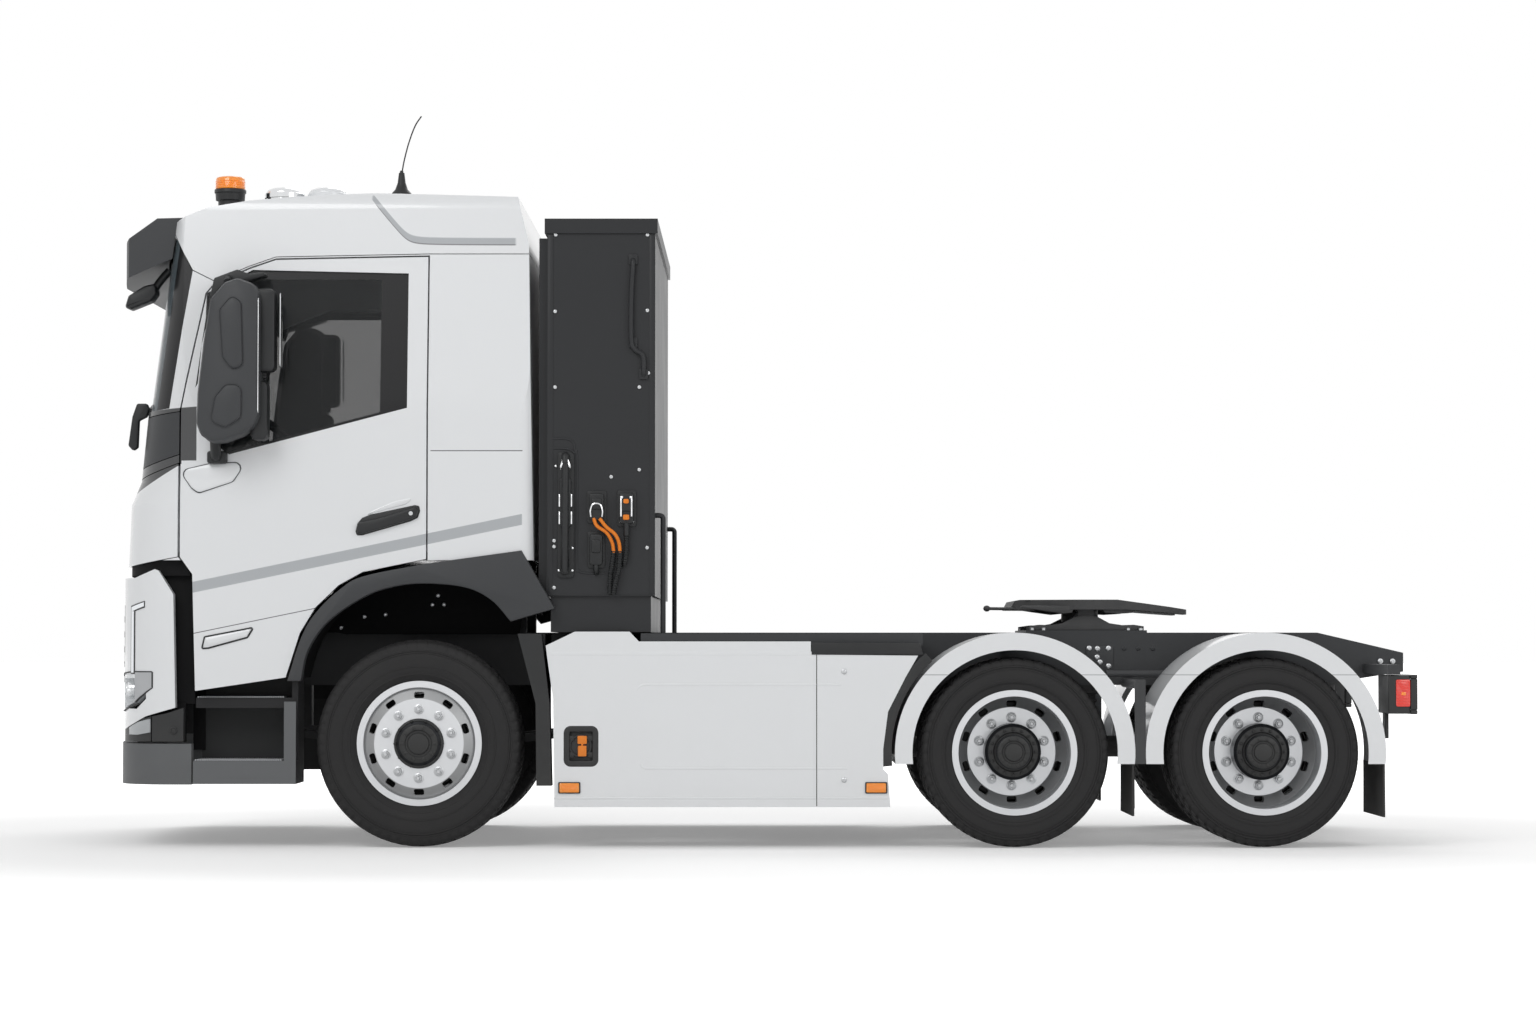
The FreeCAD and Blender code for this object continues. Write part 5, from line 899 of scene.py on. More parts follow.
def make_skirt_details():
    """The skirt's pressed panel lines as low rolls, its seam and lower ledge, and the walkway's strip."""
    upper = rounded([(-0.612, 0.41), (-0.612, 0.794), (0.252, 0.794), (0.252, 0.41)], [0, 0.032, 0, 0], 6)
    lines = [raised_line(*line) for line in (
        (upper[6:14], 0.0065),
        ([(-0.598, 0.41), (-0.592, 0.396), (-0.575, 0.387), (0.25, 0.387)], 0.0065),
        ([(0.262, 0.794), (0.376, 0.794)], 0.0065), ([(0.262, 0.387), (0.404, 0.387)], 0.0065),
        ([(-1.035, 0.945), (0.25, 0.945)], 0.01, 0.0012),
        ([(-1.02, 0.243), (0.25, 0.243)], 0.005), ([(0.262, 0.243), (0.6, 0.243)], 0.005))]
    piece("skirt_lines", across(*lines), PANEL_PAINT, "chassis")
    seam = bar((0.2545, 0.205), (0.2585, 0.94), 0.0008, SKIRT_SIDE, 0.0002)
    strip = side_plate([(0.232, 0.94), (0.774, 0.94), (0.76, 0.996), (0.232, 0.998)], 0.006,
        SKIRT_SIDE + 0.002, 0.002)
    piece("skirt_seams", across(seam, strip), BLACK_TRIM, "chassis")
    bolts = screw_heads([(0.39, 0.858), (0.39, 0.332)], SKIRT_SIDE, 0.014)
    piece("skirt_bolts", across(bolts), ZINC, "chassis")
    frames, lenses = [], []
    for x in (-0.945, 0.5455):
        frames.append(bar((x - 0.054, 0.266), (x + 0.054, 0.322), 0.008, SKIRT_SIDE, 0.003, 0.006))
        lenses.append(bar((x - 0.048, 0.271), (x + 0.048, 0.317), 0.014, SKIRT_SIDE, 0.005, 0.006))
        lenses += [bar((middle - 0.0015, 0.276), (middle + 0.0015, 0.312), 0.0155, SKIRT_SIDE, 0.0007)
                   for middle in x + 0.0085 * np.arange(-4, 5)]
    piece("marker_lenses", across(*lenses), AMBER_LENS, "chassis")
    piece("marker_frames", across(*frames), BLACK_TRIM, "chassis")


def ring_plate(outline, width, depth, face, edge):
    """A frame round a hole: a rounded bar carried round the outline, halfway across the bar's width."""
    middle = inset(anticlockwise(outline), width / 2)
    turn = rounded(box_outline((-width / 2, -depth / 2), (width / 2, depth / 2)), edge, 4)
    return swept(np.insert(middle, 1, face - depth / 2, axis=1), turn[:, ::-1], closed=True)


def make_inlet():
    """The charging inlet: a black rounded frame, an orange socket cover, its latch and four screws."""
    outline = rounded(box_outline((-0.969, 0.4), (-0.808, 0.59)), 0.03, 8)
    rim = ring_plate(outline, 0.02, 0.03, SKIRT_SIDE + 0.022, 0.006)
    plate = side_plate(inset(anticlockwise(outline), 0.012), 0.008, SKIRT_SIDE + 0.026, 0.002)
    seat = facing(lathe([(0, 0.058), (0.008, 0.058), (0.011, 0.055), (0.011, 0.047), (0.004, 0.044),
                         (0.004, 0.0006)], 40), 1, -1)
    wings = [bar((x, z), (x + 0.03, z + 0.026), 0.014, SKIRT_SIDE + 0.019, 0.003, 0.005)
             for x in (-0.953, -0.855) for z in (0.44, 0.52)]
    piece("inlet_frame", joined(rim, plate, moved(seat, -0.892, SKIRT_SIDE + 0.018, 0.497), *wings),
        BLACK_TRIM, "chassis", replaces=("charging_inlet",))
    cover = [bar(low, high, depth, SKIRT_SIDE + 0.02, edge, corner) for low, high, depth, edge, corner in (
        ((-0.904, 0.446), (-0.862, 0.498), 0.022, 0.004, 0.006),
        ((-0.906, 0.506), (-0.86, 0.546), 0.018, 0.004, 0.006),
        ((-0.888, 0.494), (-0.878, 0.51), 0.02, 0.003, 0.003))]
    piece("inlet_cover", joined(*cover), ORANGE, "chassis")
    spots = [(-0.946, 0.571), (-0.831, 0.571), (-0.946, 0.419), (-0.831, 0.419)]
    piece("inlet_screws", screw_heads(spots, SKIRT_SIDE + 0.016, 0.006), ZINC, "chassis")


make_skirt_details()
make_inlet()


# Front: lamps, slats, plates

NOSE, HALF_WIDTH, SWEEP = -3.245, 1.245, 0.219
NOSE_RADIUS, CORNER_RADIUS, PLAN_REAR = 5.6, 0.3, -2.7


def front_plan():
    """The plan of the truck's nose: a wide arc between two rounded corners, from left to right, with the
    distance along it from the middle."""
    slope = SWEEP / HALF_WIDTH
    apex = NOSE - NOSE_RADIUS * (math.hypot(slope, 1) - 1)
    shoulder = apex + slope * HALF_WIDTH
    corners = [(PLAN_REAR, -HALF_WIDTH), (shoulder, -HALF_WIDTH), (apex, 0), (shoulder, HALF_WIDTH),
               (PLAN_REAR, HALF_WIDTH)]
    line = rounded(corners, [0, CORNER_RADIUS, NOSE_RADIUS, CORNER_RADIUS, 0], 17, 0.95)
    line = line[np.concatenate([[True], np.linalg.norm(np.diff(line, axis=0), axis=1) > 1e-6])]
    line = line[line[:, 0] <= PLAN_REAR]
    run = run_along(line)
    order = np.argsort(line[:, 1])
    return line, run - np.interp(0.0, line[order, 1], run[order])


PLAN_LINE, PLAN_RUN = front_plan()


def distance_at(x):
    """The distance along the nose's plan at which its left half reaches x."""
    left = PLAN_RUN < 0
    order = np.argsort(PLAN_LINE[left, 0])
    return float(np.interp(x, PLAN_LINE[left, 0][order], PLAN_RUN[left][order]))


def on_front(distance, height, gap):
    """Points on the nose: distance along the plan from its middle, height, and gap in from the surface."""
    distance, height, gap = np.broadcast_arrays(distance, height, gap)
    ahead = np.gradient(PLAN_LINE, axis=0)
    ahead /= np.linalg.norm(ahead, axis=1)[:, None]
    x, y, inward_x, inward_y = (np.interp(distance, PLAN_RUN, values)
                                for values in (*PLAN_LINE.T, ahead[:, 1], -ahead[:, 0]))
    return np.stack([x + inward_x * gap, y + inward_y * gap, height], axis=-1)


def front_skin(left, right, low, high, gap, thick, columns=24, rows=6):
    """A closed skin on the nose between two distances, whose lower and upper edges are one height each or
    heights spread along it: a grid of the surface, with a rim that turns back by the thickness."""
    share = np.linspace(0, 1, columns)
    low, high = (np.interp(share, np.linspace(0, 1, np.size(edge)), np.atleast_1d(edge))
                 for edge in (low, high))
    height = low + (high - low) * np.linspace(0, 1, rows)[:, None]
    distance = np.broadcast_to(left + (right - left) * share, height.shape)
    depth = np.full(height.shape, float(gap))
    distance, height, depth = (np.pad(a, 1, mode="edge") for a in (distance, height, depth))
    depth[0], depth[-1], depth[:, 0], depth[:, -1] = (gap + thick,) * 4
    sheet = grid(on_front(distance, height, depth))
    back = grid(on_front(distance[1:-1, 1:-1][::-1], height[1:-1, 1:-1][::-1], gap + thick))
    return joined(turned_over(sheet), turned_over(back))


def make_headlamps():
    """Each headlamp: a silver housing with black outlines set into the corner, two projector lenses, chrome
    fins and a cover; the light strips beside the front panel, and the fog lamps."""
    left = distance_at(-2.971)
    right = left + 0.43
    foot, top = np.array([0.78, 0.705, 0.67, 0.666]), np.array([0.85, 0.85, 0.84, 0.828])
    housing = front_skin(left + 0.006, right - 0.006, foot + 0.006, top - 0.006, 0.052, 0.006)
    walls = [front_skin(left + 0.003, right - 0.003, edge, edge + 0.006, 0.012, 0.04, rows=2)
             for edge in (foot, top - 0.007)]
    piece("lamp_housings", across(housing, *walls), LAMP_SILVER, "cab", replaces=("headlamps",))
    corner = front_skin(left + 0.01, left + 0.125, [0.782, 0.712], 0.854, 0.0015, 0.004, 12, 4)
    piece("lamp_corners", across(corner), LAMP_SILVER, "cab")
    outlines = ((left + 0.01, right, top + 0.004, top + 0.01, 24, 2),
                (left + 0.004, left + 0.012, 0.782, 0.856, 3, 3),
                (left + 0.004, left + 0.12, [0.778, 0.707], [0.784, 0.713], 12, 2),
                (left + 0.1, right, foot[1:] - 0.008, foot[1:] - 0.002, 24, 2))
    lines = [front_skin(*outline[:4], 0.001, 0.008, *outline[4:]) for outline in outlines]
    piece("lamp_outlines", across(*lines), BLACK_TRIM, "cab")
    bowl = lathe([(0.0, 0.01), (0.004, 0.024), (0.016, 0.033), (0.03, 0.038), (0.034, 0.041), (0.03, 0.043),
                  (0.0, 0.043)], 36)
    bulb = lathe([(0.0, 0.024), (0.014, 0.024), (0.024, 0.02), (0.03, 0.012), (0.032, 0.0005)], 28)
    spots = on_front(np.array([-1.0, -1.1]), np.array([0.765, 0.77]), 0.046)
    fins = [front_skin(-1.3 + 0.035 * k, -1.288 + 0.035 * k, 0.772 - 0.007 * k, 0.838, 0.034, 0.006, 3, 3)
            for k in range(4)]
    crest = top[[0, 1, 3]]
    brow = front_skin(left + 0.02, right - 0.01, crest - 0.02, crest - 0.012, 0.02, 0.01, rows=2)
    piece("lamp_reflectors", across(at_places(facing(bowl, 0, -1), spots), *fins, brow), CHROME, "cab")
    piece("lamp_projectors", across(at_places(facing(bulb, 0, -1), spots)), LENS, "cab")
    edge = distance_at(-3.082)
    for name, finish, gap, parts in (
            ("day_lights", DAY_LENS, 0.0008, (((0.0, 0.022), 0.852, 1.152, 4, 10),
                                              ((-0.075, 0.022), [1.176, 1.15], [1.196, 1.172], 8, 3))),
            ("day_light_beds", BLACK_TRIM, 0.002, (((-0.006, 0.028), 0.846, 1.158, 4, 10),
                                                   ((-0.08, 0.028), [1.17, 1.144], [1.202, 1.178], 8, 3)))):
        strips = [front_skin(edge + near, edge + far, low, high, gap, 0.012, columns, rows)
                  for (near, far), low, high, columns, rows in parts]
        piece(name, across(*strips), finish, "cab")
    piece("lamp_covers", across(front_skin(left, right, foot, top, 0.006, 0.003, 32)), COVER, "cab")
    fog = front_skin(distance_at(-2.99), distance_at(-3.11), [0.562, 0.55, 0.55], [0.628, 0.612, 0.584],
        0.004, 0.008, 14, 5)
    piece("fog_lenses", across(fog), LENS, "cab")


def make_front_trim():
    """Slats between the headlamps on their field, and the blank plate."""
    piece("front_slat_field", front_skin(-0.76, 0.76, 0.775, 1.185, 0.0035, 0.005, 40, 4), BLACK_TRIM, "cab")
    slats = [front_skin(-0.72, 0.72, z, z + 0.03, 0.0005, 0.006, 40, 3) for z in np.arange(0.8, 1.17, 0.075)]
    piece("front_slats", joined(*slats), TRIM, "cab")
    plate = front_skin(-0.26, 0.26, 0.36, 0.47, 0.0005, 0.004, 10, 3)
    piece("blank_plate", plate, LENS_WHITE, "chassis")


make_headlamps()
make_front_trim()


# Cab sides: door trim, mirrors, painted-shade gap sheets, wipers, wheel houses, steps

WAIST = 2.14


def side_of(x, z):
    """How far out the cab's skin stands at (x, z): the half width, less the lean above the waist, less the
    round of the front corner, whose start moves back with height."""
    lean = 0.0535 * (z - WAIST + np.hypot(z - WAIST, 0.03))
    back = np.interp(z, [1.364, 1.673, 1.79, 2.117, 3.35], [0.0, 0.0126, 0.0609, 0.0924, 0.254])
    ahead = np.clip(back - 2.835 - x, 0, 0.29)
    return HALF_WIDTH - lean - (CORNER_RADIUS - np.sqrt(0.09 - ahead ** 2))


def skin_plate(outline, depth, edge, corner=None):
    """A side plate laid on the cab's left skin, its back 2 mm inside."""
    points, faces = side_plate(outline, depth, 0.002, edge, corner)
    x, y, z = points.T
    return np.column_stack([x, y - side_of(x, z), z]), faces


def on_doors(name, shell, finish, replaces=""):
    """The shell on the left door and its mirror image on the right one."""
    for word, own in (("left", shell), ("right", other_side(shell))):
        piece(f"{name}_{word}", own, finish, f"door_{word}",
            replaces=(f"{replaces}_{word}",) if replaces else ())


def make_door_trim():
    """Each door's handle (its black bed, grip, lock disc and white lip), the blank framed panel low on it,
    the tapered slot by its front edge and the mirror's foot panel on a dark outline of painted shade."""
    disc = facing(lathe([(0.0, 0.011), (0.003, 0.01), (0.003, 0.0004)], 20), 1, -1)
    panel = rounded([(-2.738, 0.965), (-2.7, 0.968), (-2.509, 1.02), (-2.473, 1.078), (-2.723, 1.03)], 0.01)
    foot = [(-2.845, 1.835), (-2.786, 1.753), (-2.752, 1.728), (-2.587, 1.782), (-2.524, 1.876),
        (-2.7, 1.868)]
    # A dark outline a little larger than the mirror's foot panel: painted shade round it.
    rim = np.mean(foot, axis=0) + (np.array(foot) - np.mean(foot, axis=0)) * [1.035, 1.07]
    bed = [(-1.988, 1.54), (-1.978, 1.58), (-1.955, 1.606), (-1.915, 1.622), (-1.7, 1.668), (-1.678, 1.664),
           (-1.673, 1.64), (-1.684, 1.606), (-1.72, 1.588), (-1.845, 1.552), (-1.955, 1.52), (-1.982, 1.52)]
    grip = [(-1.982, 1.545), (-1.975, 1.582), (-1.87, 1.604), (-1.7, 1.655), (-1.682, 1.64), (-1.692, 1.608),
            (-1.735, 1.592), (-1.85, 1.556), (-1.95, 1.529), (-1.975, 1.529)]
    lip = [(-1.95, 1.612), (-1.9, 1.645), (-1.79, 1.69), (-1.7, 1.706), (-1.745, 1.672), (-1.9, 1.63)]
    slot = [(-2.803, 2.228), (-2.775, 2.235), (-2.761, 2.262), (-2.745, 2.45), (-2.714, 2.612),
        (-2.722, 2.628), (-2.738, 2.622), (-2.765, 2.45)]
    for name, shell, finish in (
            ("handle_bed", skin_plate(bed, 0.005, 0.002, 0.01), BLACK_TRIM),
            ("handle_grip", skin_plate(grip, 0.026, 0.008, 0.01), BLACK_TRIM),
            ("handle_lock", moved(disc, -1.717, -HALF_WIDTH - 0.0225, 1.627), ZINC),
            ("handle_lip", skin_plate(lip, 0.007, 0.004, 0.02), PANEL_PAINT),
            ("door_panel_frame", skin_plate(panel, 0.006, 0.002), BLACK_TRIM),
            ("door_panel_face", skin_plate(inset(anticlockwise(panel), 0.008), 0.009, 0.003), PANEL_PAINT),
            ("door_slot", skin_plate(slot, 0.006, 0.002, 0.008), BLACK_TRIM),
            ("mirror_foot_shade_outline", skin_plate(rim, 0.0055, 0.001, 0.03), TRIM),
            ("mirror_foot_panel", skin_plate(foot, 0.012, 0.008, 0.03), PANEL_PAINT)):
        on_doors(name, shell, finish)


def make_mirrors():
    """Each side's mirrors: a tall rounded housing, two smaller ones, glasses, bracket, arm and foot."""
    tall = [(-2.668, 2.655), (-2.6, 2.735), (-2.538, 2.757), (-2.462, 2.73), (-2.43, 2.68), (-2.43, 2.088),
            (-2.455, 2.035), (-2.518, 1.995), (-2.6, 1.965), (-2.66, 1.957), (-2.714, 2.003), (-2.732, 2.052),
            (-2.728, 2.2), (-2.7, 2.45)]
    upper = [(-2.622, 2.6), (-2.56, 2.672), (-2.515, 2.64), (-2.505, 2.33), (-2.56, 2.312), (-2.606, 2.37)]
    under = [(-2.664, 2.06), (-2.64, 2.18), (-2.59, 2.24), (-2.512, 2.24), (-2.512, 2.08), (-2.588, 2.03)]
    shell = joined(side_plate(tall, 0.178, -1.31, 0.028, 0.05),
                   *(side_plate(outline, 0.0145, -1.4845, 0.0145, 0.035) for outline in (upper, under)))
    on_doors("mirror_housing", shell, TRIM, "mirror")
    behind = joined(bar((-2.468, 2.306), (-2.361, 2.71), 0.105, -1.315, 0.018, 0.03),
                    bar((-2.48, 1.975), (-2.396, 2.264), 0.1, -1.315, 0.016, 0.03))
    on_doors("mirror_rear_housings", behind, BLACK_TRIM)
    glass = joined(slab(rounded(box_outline((-1.488, 2.1), (-1.425, 2.66)), 0.02), 0, 0.006, 0.002),
                   slab(rounded(box_outline((-1.41, 2.33), (-1.325, 2.69)), 0.02), 0.096, 0.102, 0.002))
    on_doors("mirror_glass", moved(facing(glass, 0, 1), -2.4375, 0, 0), CHROME)
    brace = [(-2.69, 2.69), (-2.672, 2.77), (-2.56, 2.812), (-2.5, 2.79), (-2.43, 2.8), (-2.42, 2.78),
             (-2.54, 2.742), (-2.64, 2.72), (-2.66, 2.66)]
    arms = joined(side_plate(brace, 0.11, -1.212, 0.008, 0.012),
                  tube([(-2.6, -1.22, 2.775), (-2.6, -1.3, 2.77), (-2.6, -1.36, 2.745)], 0.02, 8, 14),
                  tube([(-2.66, -1.22, 1.9), (-2.66, -1.3, 1.905), (-2.655, -1.37, 1.985)], 0.026, 8, 14),
                  bar((-2.706, 1.868), (-2.612, 1.93), 0.06, -1.236, 0.008, 0.014),
                  *(bar((-2.466, z), (-2.41, z + 0.016), 0.02, -1.34, 0.003, 0.004) for z in (2.278, 2.292)))
    on_doors("mirror_arms", arms, BLACK_TRIM)
    paddle = [(-3.163, 2.655), (-3.146, 2.714), (-3.069, 2.762), (-3.012, 2.778), (-3.005, 2.724),
        (-3.032, 2.688), (-3.136, 2.646)]
    hanger = tube([(-3.03, -0.92, 2.745), (-2.99, -0.92, 2.8), (-2.95, -0.92, 2.845)], 0.02, 8, 14)
    eye = [(-3.147, 1.974), (-3.133, 2.079), (-3.128, 2.116), (-3.105, 2.182), (-3.057, 2.182),
        (-3.043, 2.154), (-3.057, 2.116), (-3.095, 2.097), (-3.1, 1.965), (-3.123, 1.946)]
    piece("kerb_mirror", joined(side_plate(paddle, 0.13, -0.86, 0.018, 0.02), hanger,
                                side_plate(eye, 0.05, -0.9, 0.008, 0.012)), BLACK_TRIM, "cab")


def on_screen(y, z, out):
    """Points that stand out from the windscreen by so much."""
    back = np.interp(z, [2.117, 3.35], [0.0924, 0.254])
    return np.column_stack([-3.22 + back + y ** 2 / (2 * NOSE_RADIUS) - out, y, z])


def make_cab_trim():
    """Dark sheets of painted shade behind the cab's gaps, the visor's end discs and plates, and the two
    wipers.
    """
    side = -distance_at(-2.8)
    # Near-black sheets inside the gaps: painted shade.
    gap_shade_plan = [(-2.95, 0.7), (-2.776, 0.7), (-2.776, 1.3), (-2.796, 1.405), (-2.9, 1.405), (-2.93, 1.3)]
    piece("gap_shade_sheets", joined(front_skin(-side, side, 1.325, 1.4, 0.04, 0.02, 60, 3),
                                across(side_plate(gap_shade_plan, 0.02, -1.15))), DEEP_BLACK, "cab")
    turn = circle(28)
    oval = np.column_stack([-2.835 + 0.024 * turn[:, 0] + 0.01 * turn[:, 1], 3.012 + 0.034 * turn[:, 1]])
    piece("visor_discs", across(side_plate(oval, 0.01, -1.066)), BLACK_TRIM, "cab")
    end = [(-2.905, 3.088), (-2.787, 3.093), (-2.8, 3.03), (-2.846, 2.921), (-2.905, 2.9)]
    piece("visor_ends", across(skin_plate(end, 0.016, 0.005, 0.01)), TRIM, "cab")
    share = np.linspace(0, 1, 12)
    z = 2.15 + 0.085 * np.sin(share * math.pi / 2)
    wipers = [swept(on_screen(start + 0.72 * share, z + up, out), circle(8) * size) for start in (-0.62, 0.12)
              for up, out, size in ((0, 0.012, [0.009, 0.006]), (0.022, 0.004, [0.005, 0.01]))]
    piece("wipers", joined(*wipers), BLACK_TRIM, "cab")


def make_wheel_houses():
    """Each front wheel arch: its flare, and a black liner with a curved roof and an inner wall with bolts."""
    outer = smooth_line([(-2.316, 0.812), (-2.247, 1.028), (-2.173, 1.15), (-2.062, 1.257), (-1.945, 1.322),
                         (-1.636, 1.384)], 6)
    inner = smooth_line([(-1.231, 1.102), (-1.325, 1.205), (-1.45, 1.266), (-1.64, 1.286), (-1.8, 1.271),
                         (-1.947, 1.219), (-2.118, 1.102), (-2.216, 0.96), (-2.25, 0.812)], 6)
    flare = np.concatenate([outer, [(-1.179, 1.447), (-1.017, 1.164)], inner])
    piece("arch_flare_skins", across(side_plate(flare, 0.072, -1.19, 0.005)), TRIM, "cab",
        replaces=("arch_flares",))
    crest = smooth_line([(-2.283, 0.83), (-2.236, 0.985), (-2.15, 1.125), (-2.03, 1.222), (-1.88, 1.288),
                         (-1.65, 1.332), (-1.42, 1.332), (-1.3, 1.268), (-1.212, 1.155)], 6)
    roof = side_plate(np.concatenate([crest, (crest + [0.002, -0.006])[::-1]]), 0.585, -0.604, 0.001)
    low = [(-1.23, 1.04), (-2.1, 1.04)]
    wall = side_plate(np.concatenate([crest[crest[:, 1] > 1.05], low]), 0.006, -0.6, 0.001)
    piece("wheel_houses", across(roof, wall), DEEP_BLACK, "cab")
    spots = [(-2.128, 1.075), (-2.01, 1.13), (-1.905, 1.14), (-1.64, 1.236), (-1.61, 1.19), (-1.668, 1.19)]
    piece("wheel_house_bolts", across(screw_heads(spots, -0.606, 0.011)), ZINC, "cab")


def make_steps():
    """Serrated treads and a dark sheet of painted shade at the steps, corner trims with sensors, and the
    bumper's seam.
    """
    tooth = slab(box_outline((-0.0035, -0.11), (0.0035, 0.11)), 0, 0.007, 0.0015)
    places = [(x, y, z) for y, z in ((-1.128, 0.4245), (-1.045, 0.7295), (-1.045, 1.0795))
              for x in np.arange(-2.762, -2.345, 0.0115)]
    piece("step_treads", across(at_places(tooth, places)), STRIP_GREY, "chassis")
    nose, mid, rear = distance_at(-3.165), distance_at(-2.986), distance_at(-2.822)
    trims = [front_skin(rear, mid - 0.003, 0.518, [0.682, 0.655, 0.64], 0.01, 0.058, 12, 4),
             front_skin(mid + 0.003, nose, 0.518, [0.64, 0.6, 0.575], 0.01, 0.058, 16, 4)]
    piece("corner_trims", across(*trims), BLACK_TRIM, "cab")
    # A near-black sheet deep in the step well: painted shade.
    screen = bar((-2.816, 0.47), (-2.755, 0.8), 0.006, -0.95, 0.001)
    piece("step_shade_sheets", across(screen), DEEP_BLACK, "chassis")
    ring = lathe([(0.0, 0.018), (0.005, 0.017), (0.006, 0.014), (0.003, 0.011), (0.0035, 0.0004)], 24)
    piece("corner_sensors", across(moved(facing(ring, 1, -1), -2.869, -1.235, 0.571)), BLACK_TRIM, "cab")
    seam = bar((-2.7785, 0.318), (-2.7755, 0.5), 0.0008, -1.2445, 0.0002)
    piece("bumper_seams", across(seam), BLACK_TRIM, "chassis")


make_door_trim()
make_mirrors()
make_cab_trim()
make_wheel_houses()
make_steps()


# Chassis: tail lamps, bolts, coupling fittings, quarter arches, flaps and air springs

LAMP_BACK, LAMP_SIDE = 3.15, -1.202


def back_lens(y):
    """A tail lamp's lens that faces back, from its outer edge."""
    plate = slab(rounded(box_outline((y, 0.676), (y + 0.086, 0.816)), 0.008), 0, 0.018, 0.004)
    return moved(facing(plate, 0, 1), LAMP_BACK, 0, 0)


def make_tail_lamps():
    """Each tail lamp: a black frame, a ribbed red lens on its side, and red and amber lenses facing back."""
    blocks = [block(*sizes) for sizes in (
        ((3.042, -1.203, 0.652), (LAMP_BACK, -0.886, 0.84), 0.006, 0.01),
        ((LAMP_BACK, -1.206, 0.822), (3.184, -0.884, 0.842), 0.004, 0.006),
        ((LAMP_BACK, -1.206, 0.65), (3.184, -0.884, 0.67), 0.004, 0.006),
        ((LAMP_BACK, -1.206, 0.67), (3.184, -1.186, 0.822), 0.004, 0.004),
        ((LAMP_BACK, -0.904, 0.67), (3.184, -0.884, 0.822), 0.004, 0.004),
        ((3.042, -1.1, 0.53), (3.06, -1.02, 0.655), 0.003, 0.004))]
    piece("tail_housings", across(*blocks), BLACK_TRIM, "chassis", replaces=("tail_lamps",))
    side = bar((3.079, 0.687), (3.148, 0.819), 0.007, LAMP_SIDE, 0.003, 0.008)
    ribs = [bar((3.084, z), (3.143, z + 0.004), 0.0095, LAMP_SIDE, 0.001)
            for z in np.arange(0.7, 0.808, 0.0135)]
    piece("tail_lenses", across(side, *ribs, back_lens(-1.182), back_lens(-0.996)), RED_LENS, "chassis")
    glow = bar((3.104, 0.742), (3.126, 0.758), 0.0125, LAMP_SIDE, 0.003, 0.004)
    piece("tail_turn_lenses", across(back_lens(-1.09), glow), AMBER_LENS, "chassis")


def make_frame_bolts():
    """Bolt heads on the rails' sides, the bolted bracket between the axles, and its cross tube."""
    spots = [(3.128, 0.905), (3.19, 0.905), (1.65, 0.97), (1.692, 0.968), (1.748, 0.97), (1.69, 0.925),
             (1.705, 0.9), (1.748, 0.88), (2.76, 0.985), (2.805, 0.945), (-0.4, 0.965), (-0.35, 0.965)]
    piece("frame_bolts", across(screw_heads(spots, -0.433, 0.014)), ZINC, "chassis")
    plate = side_plate([(1.635, 0.984), (1.772, 0.984), (1.772, 0.852), (1.7, 0.852), (1.635, 0.93)], 0.008,
                       -0.4255, 0.002, 0.01)
    holes = screw_heads([(1.828, 0.969), (1.899, 0.969), (1.975, 0.969)], -0.4252, 0.012)
    cross_tube = tube([(1.722, -0.6, 0.842), (1.9, -0.6, 0.842), (2.062, -0.6, 0.842)], 0.019, 4, 14)
    piece("axle_brackets", across(plate, holes, cross_tube), FRAME_STEEL, "chassis")


def make_coupling_details():
    """The coupling's stepped pedestal sides, base bolts, webs below the plate, and pull handle."""
    crest = [(1.345, 1.0625), (1.345, 1.082), (1.4, 1.09), (1.455, 1.088), (1.515, 1.098), (1.575, 1.128),
             (1.62, 1.14), (1.66, 1.14), (1.7, 1.128), (1.755, 1.098), (1.82, 1.088), (1.88, 1.09),
             (1.93, 1.082), (1.93, 1.0625)]
    sides = [side_plate(crest, 0.016, face) for face in (-0.397, -0.247)]
    piece("coupling_pedestals", across(*sides), CAST, "chassis")
    places = [(x, y, 1.062) for x in (1.362, 1.42, 1.85, 1.912) for y in (-0.418, -0.365)]
    head = lathe([(0, 0.013), (0.01, 0.013), (0.013, 0.01), (0.013, 0.0004)], 6)
    piece("coupling_bolts", across(at_places(head, places)), ZINC, "chassis")
    web = [(1.3, 1.178), (1.42, 1.16), (1.52, 1.146), (1.56, 1.15), (1.575, 1.172), (1.56, 1.186),
           (1.31, 1.186)]
    rear = [(1.715, 1.172), (1.73, 1.15), (1.8, 1.146), (1.87, 1.15), (1.88, 1.166), (1.73, 1.18)]
    webs = [side_plate(outline, 0.014, face) for outline in (web, rear) for face in (-0.44, -0.215)]
    grooves = [bar((1.33 + k * 0.04, 1.2155), (1.352 + k * 0.04, 1.2165), 0.3, -0.08, 0.0002)
               for k in range(3)]
    rod = tube([(1.136, -0.33, 1.173), (1.2, -0.33, 1.172), (1.3, -0.33, 1.172), (1.4, -0.33, 1.172)],
               0.008, 6)
    ball = lathe([(-0.018, 0.0005), (-0.015, 0.01), (-0.008, 0.015), (0.004, 0.016), (0.014, 0.01),
                  (0.018, 0.0005)], 20)
    ball = moved(facing(ball, 0, -1), 1.136, -0.33, 1.173)
    piece("coupling_webs", joined(across(*webs, *grooves), rod, ball), CAST, "fifth_wheel_plate")


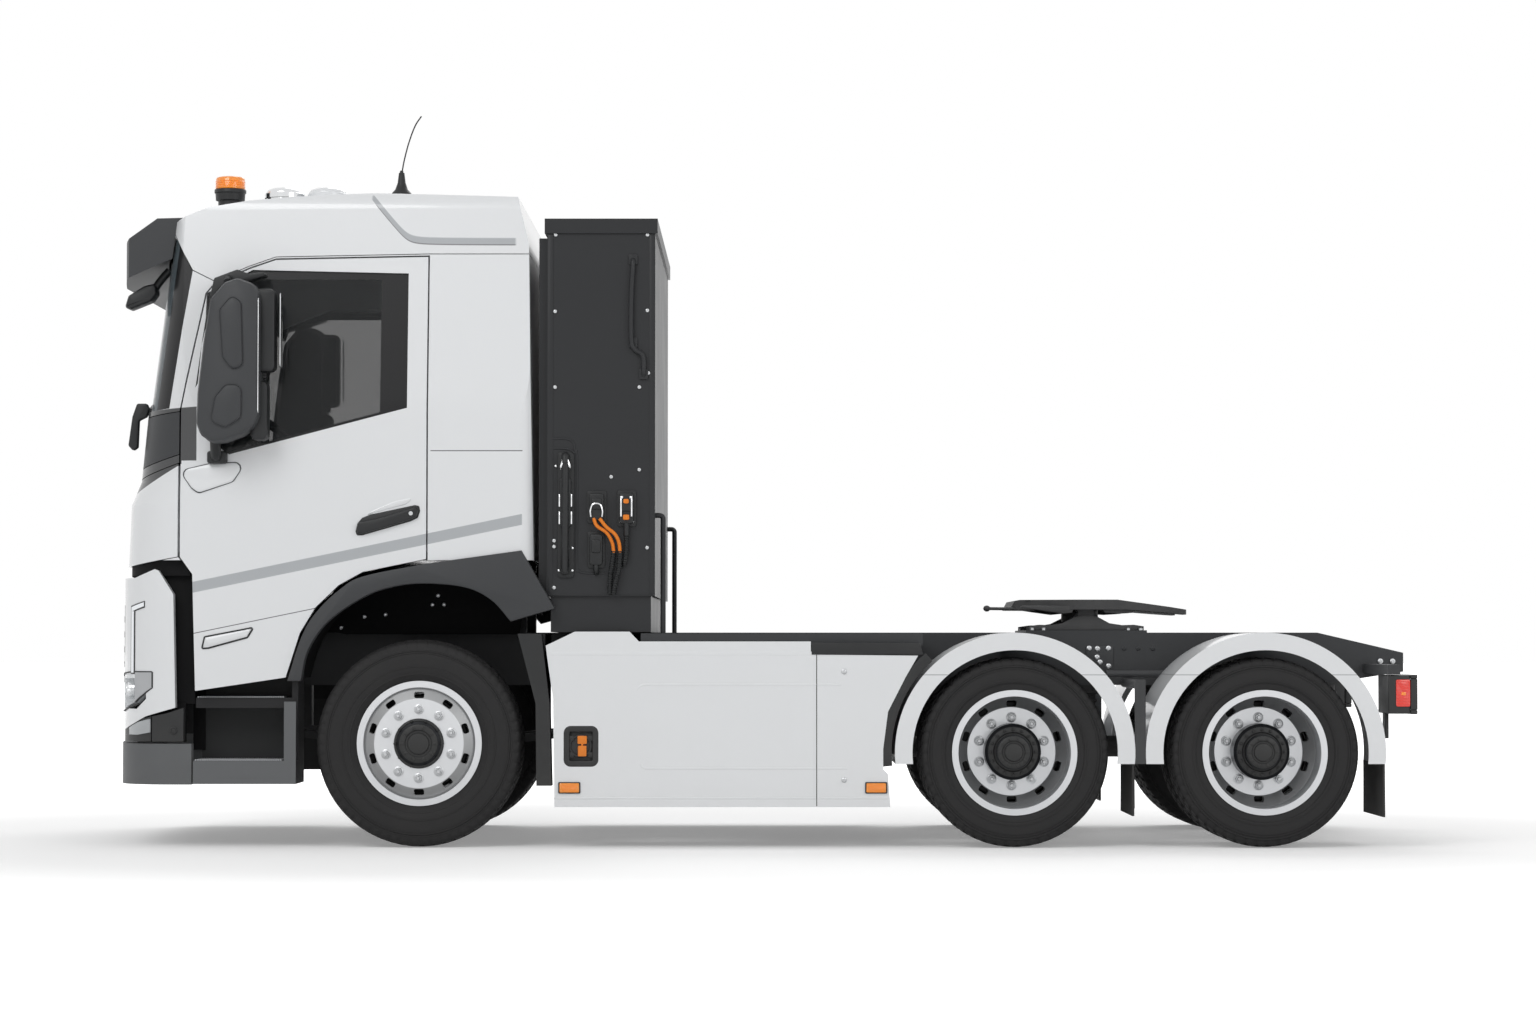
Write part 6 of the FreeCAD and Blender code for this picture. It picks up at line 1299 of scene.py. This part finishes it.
def make_rear_trim():
    """The black quarter arch behind the skirt, ribs on the mudflaps, and rings round the air springs."""
    turn = np.radians(np.linspace(132, 186, 24))
    ring = np.column_stack([np.cos(turn), np.sin(turn)])
    band = np.concatenate([ring * 0.652, (ring * 0.6)[::-1]]) + [REAR_ONE_X, REAR_R]
    piece("quarter_arches", across(side_plate(band, 0.018, -1.222)), BLACK_TRIM, "chassis")
    rib = slab(box_outline((-0.003, -0.01), (0.003, 0.01)), 0, 0.18, 0.002)
    places = [(x + 0.584, y, z) for x, z in ((REAR_ONE_X, 0.19), (REAR_TWO_X, 0.185))
              for y in np.arange(-1.16, -0.65, 0.085)]
    piece("flap_ribs", across(at_places(rib, places)), FLAP_RUBBER, "chassis")
    bead = lathe([(-0.012, 0.1), (-0.008, 0.112), (0.0, 0.116), (0.008, 0.112), (0.012, 0.1)], 40)
    spots = [(x + end * 0.36, -0.37, z) for x in (REAR_ONE_X, REAR_TWO_X) for end in (-1, 1)
             for z in (0.625, 0.665, 0.705, 0.745)]
    piece("spring_beads", across(at_places(bead, spots)), FLAP_RUBBER, "chassis")


make_tail_lamps()
make_frame_bolts()
make_coupling_details()
make_rear_trim()


# Light, floor and backdrop

def seen(tree):
    """One for a camera, glossy or transmission ray, and nought for the light that falls on the truck."""
    path = tree.nodes.new("ShaderNodeLightPath")
    total = path.outputs["Is Camera Ray"]
    for name in ("Is Glossy Ray", "Is Transmission Ray"):
        most = tree.nodes.new("ShaderNodeMath")
        most.operation = "MAXIMUM"
        tree.links.new(total, most.inputs[0])
        tree.links.new(path.outputs[name], most.inputs[1])
        total = most.outputs[0]
    return total


def scaled(tree, socket, low, high):
    """A socket's nought and one mapped to two levels."""
    node = tree.nodes.new("ShaderNodeMapRange")
    node.inputs["To Min"].default_value, node.inputs["To Max"].default_value = low, high
    tree.links.new(socket, node.inputs["Value"])
    return node.outputs["Result"]


def stage():
    """A white floor that keeps the shadow, a sky white to the eye and softer as light, and three lamps."""
    scene = bpy.context.scene
    mesh = bpy.data.meshes.new("studio_floor")
    mesh.from_pydata([(-150, -60, 0), (150, -60, 0), (150, 300, 0), (-150, 300, 0)], [], [(0, 1, 2, 3)])
    ground = Finish("studio_floor", (0.86, 0.86, 0.86), 0.9)
    _, x, y, _ = ground.where()
    far = ((x * x) * 0.012 + (y * y) * 0.02).maths("SQRT").above(0.9, 0.8)
    glow = Value(ground, scaled(ground.tree, seen(ground.tree), 0.0, 1.0)) * (far * 0.75 + 0.25)
    ground.set("Emission Color", (1, 1, 1, 1))
    ground.set("Emission Strength", glow)
    mesh.materials.append(ground.material)
    floor = bpy.data.objects.new("studio_floor", mesh)
    scene.collection.objects.link(floor)
    for name, place, aim, size, power in (("key_lamp", (-7, -13, 11), (0, 0, 1.2), 9, 780),
                                          ("fill_lamp", (9, -12, 7), (0.5, 0, 1.0), 8, 330),
                                          ("back_lamp", (1, 9, 11), (0, 0, 1.5), 9, 620)):
        light = bpy.data.lights.new(name, "AREA")
        light.shape, light.size, light.energy = "DISK", size, power
        lamp = bpy.data.objects.new(name, light)
        lamp.location = place
        x, y, z = np.array(aim) - np.array(place)
        lamp.rotation_euler = (math.acos(-z / math.hypot(x, y, z)), 0, math.atan2(-x, y))
        scene.collection.objects.link(lamp)
    world = bpy.data.worlds.new("studio_sky")
    world.use_nodes = True
    scene.world = world
    sky = world.node_tree.nodes["Background"]
    sky.inputs["Color"].default_value = (1, 1, 1, 1)
    world.node_tree.links.new(
        scaled(world.node_tree, seen(world.node_tree), 0.44, 1.0), sky.inputs["Strength"])
    scene.view_settings.view_transform = "Standard"


stage()
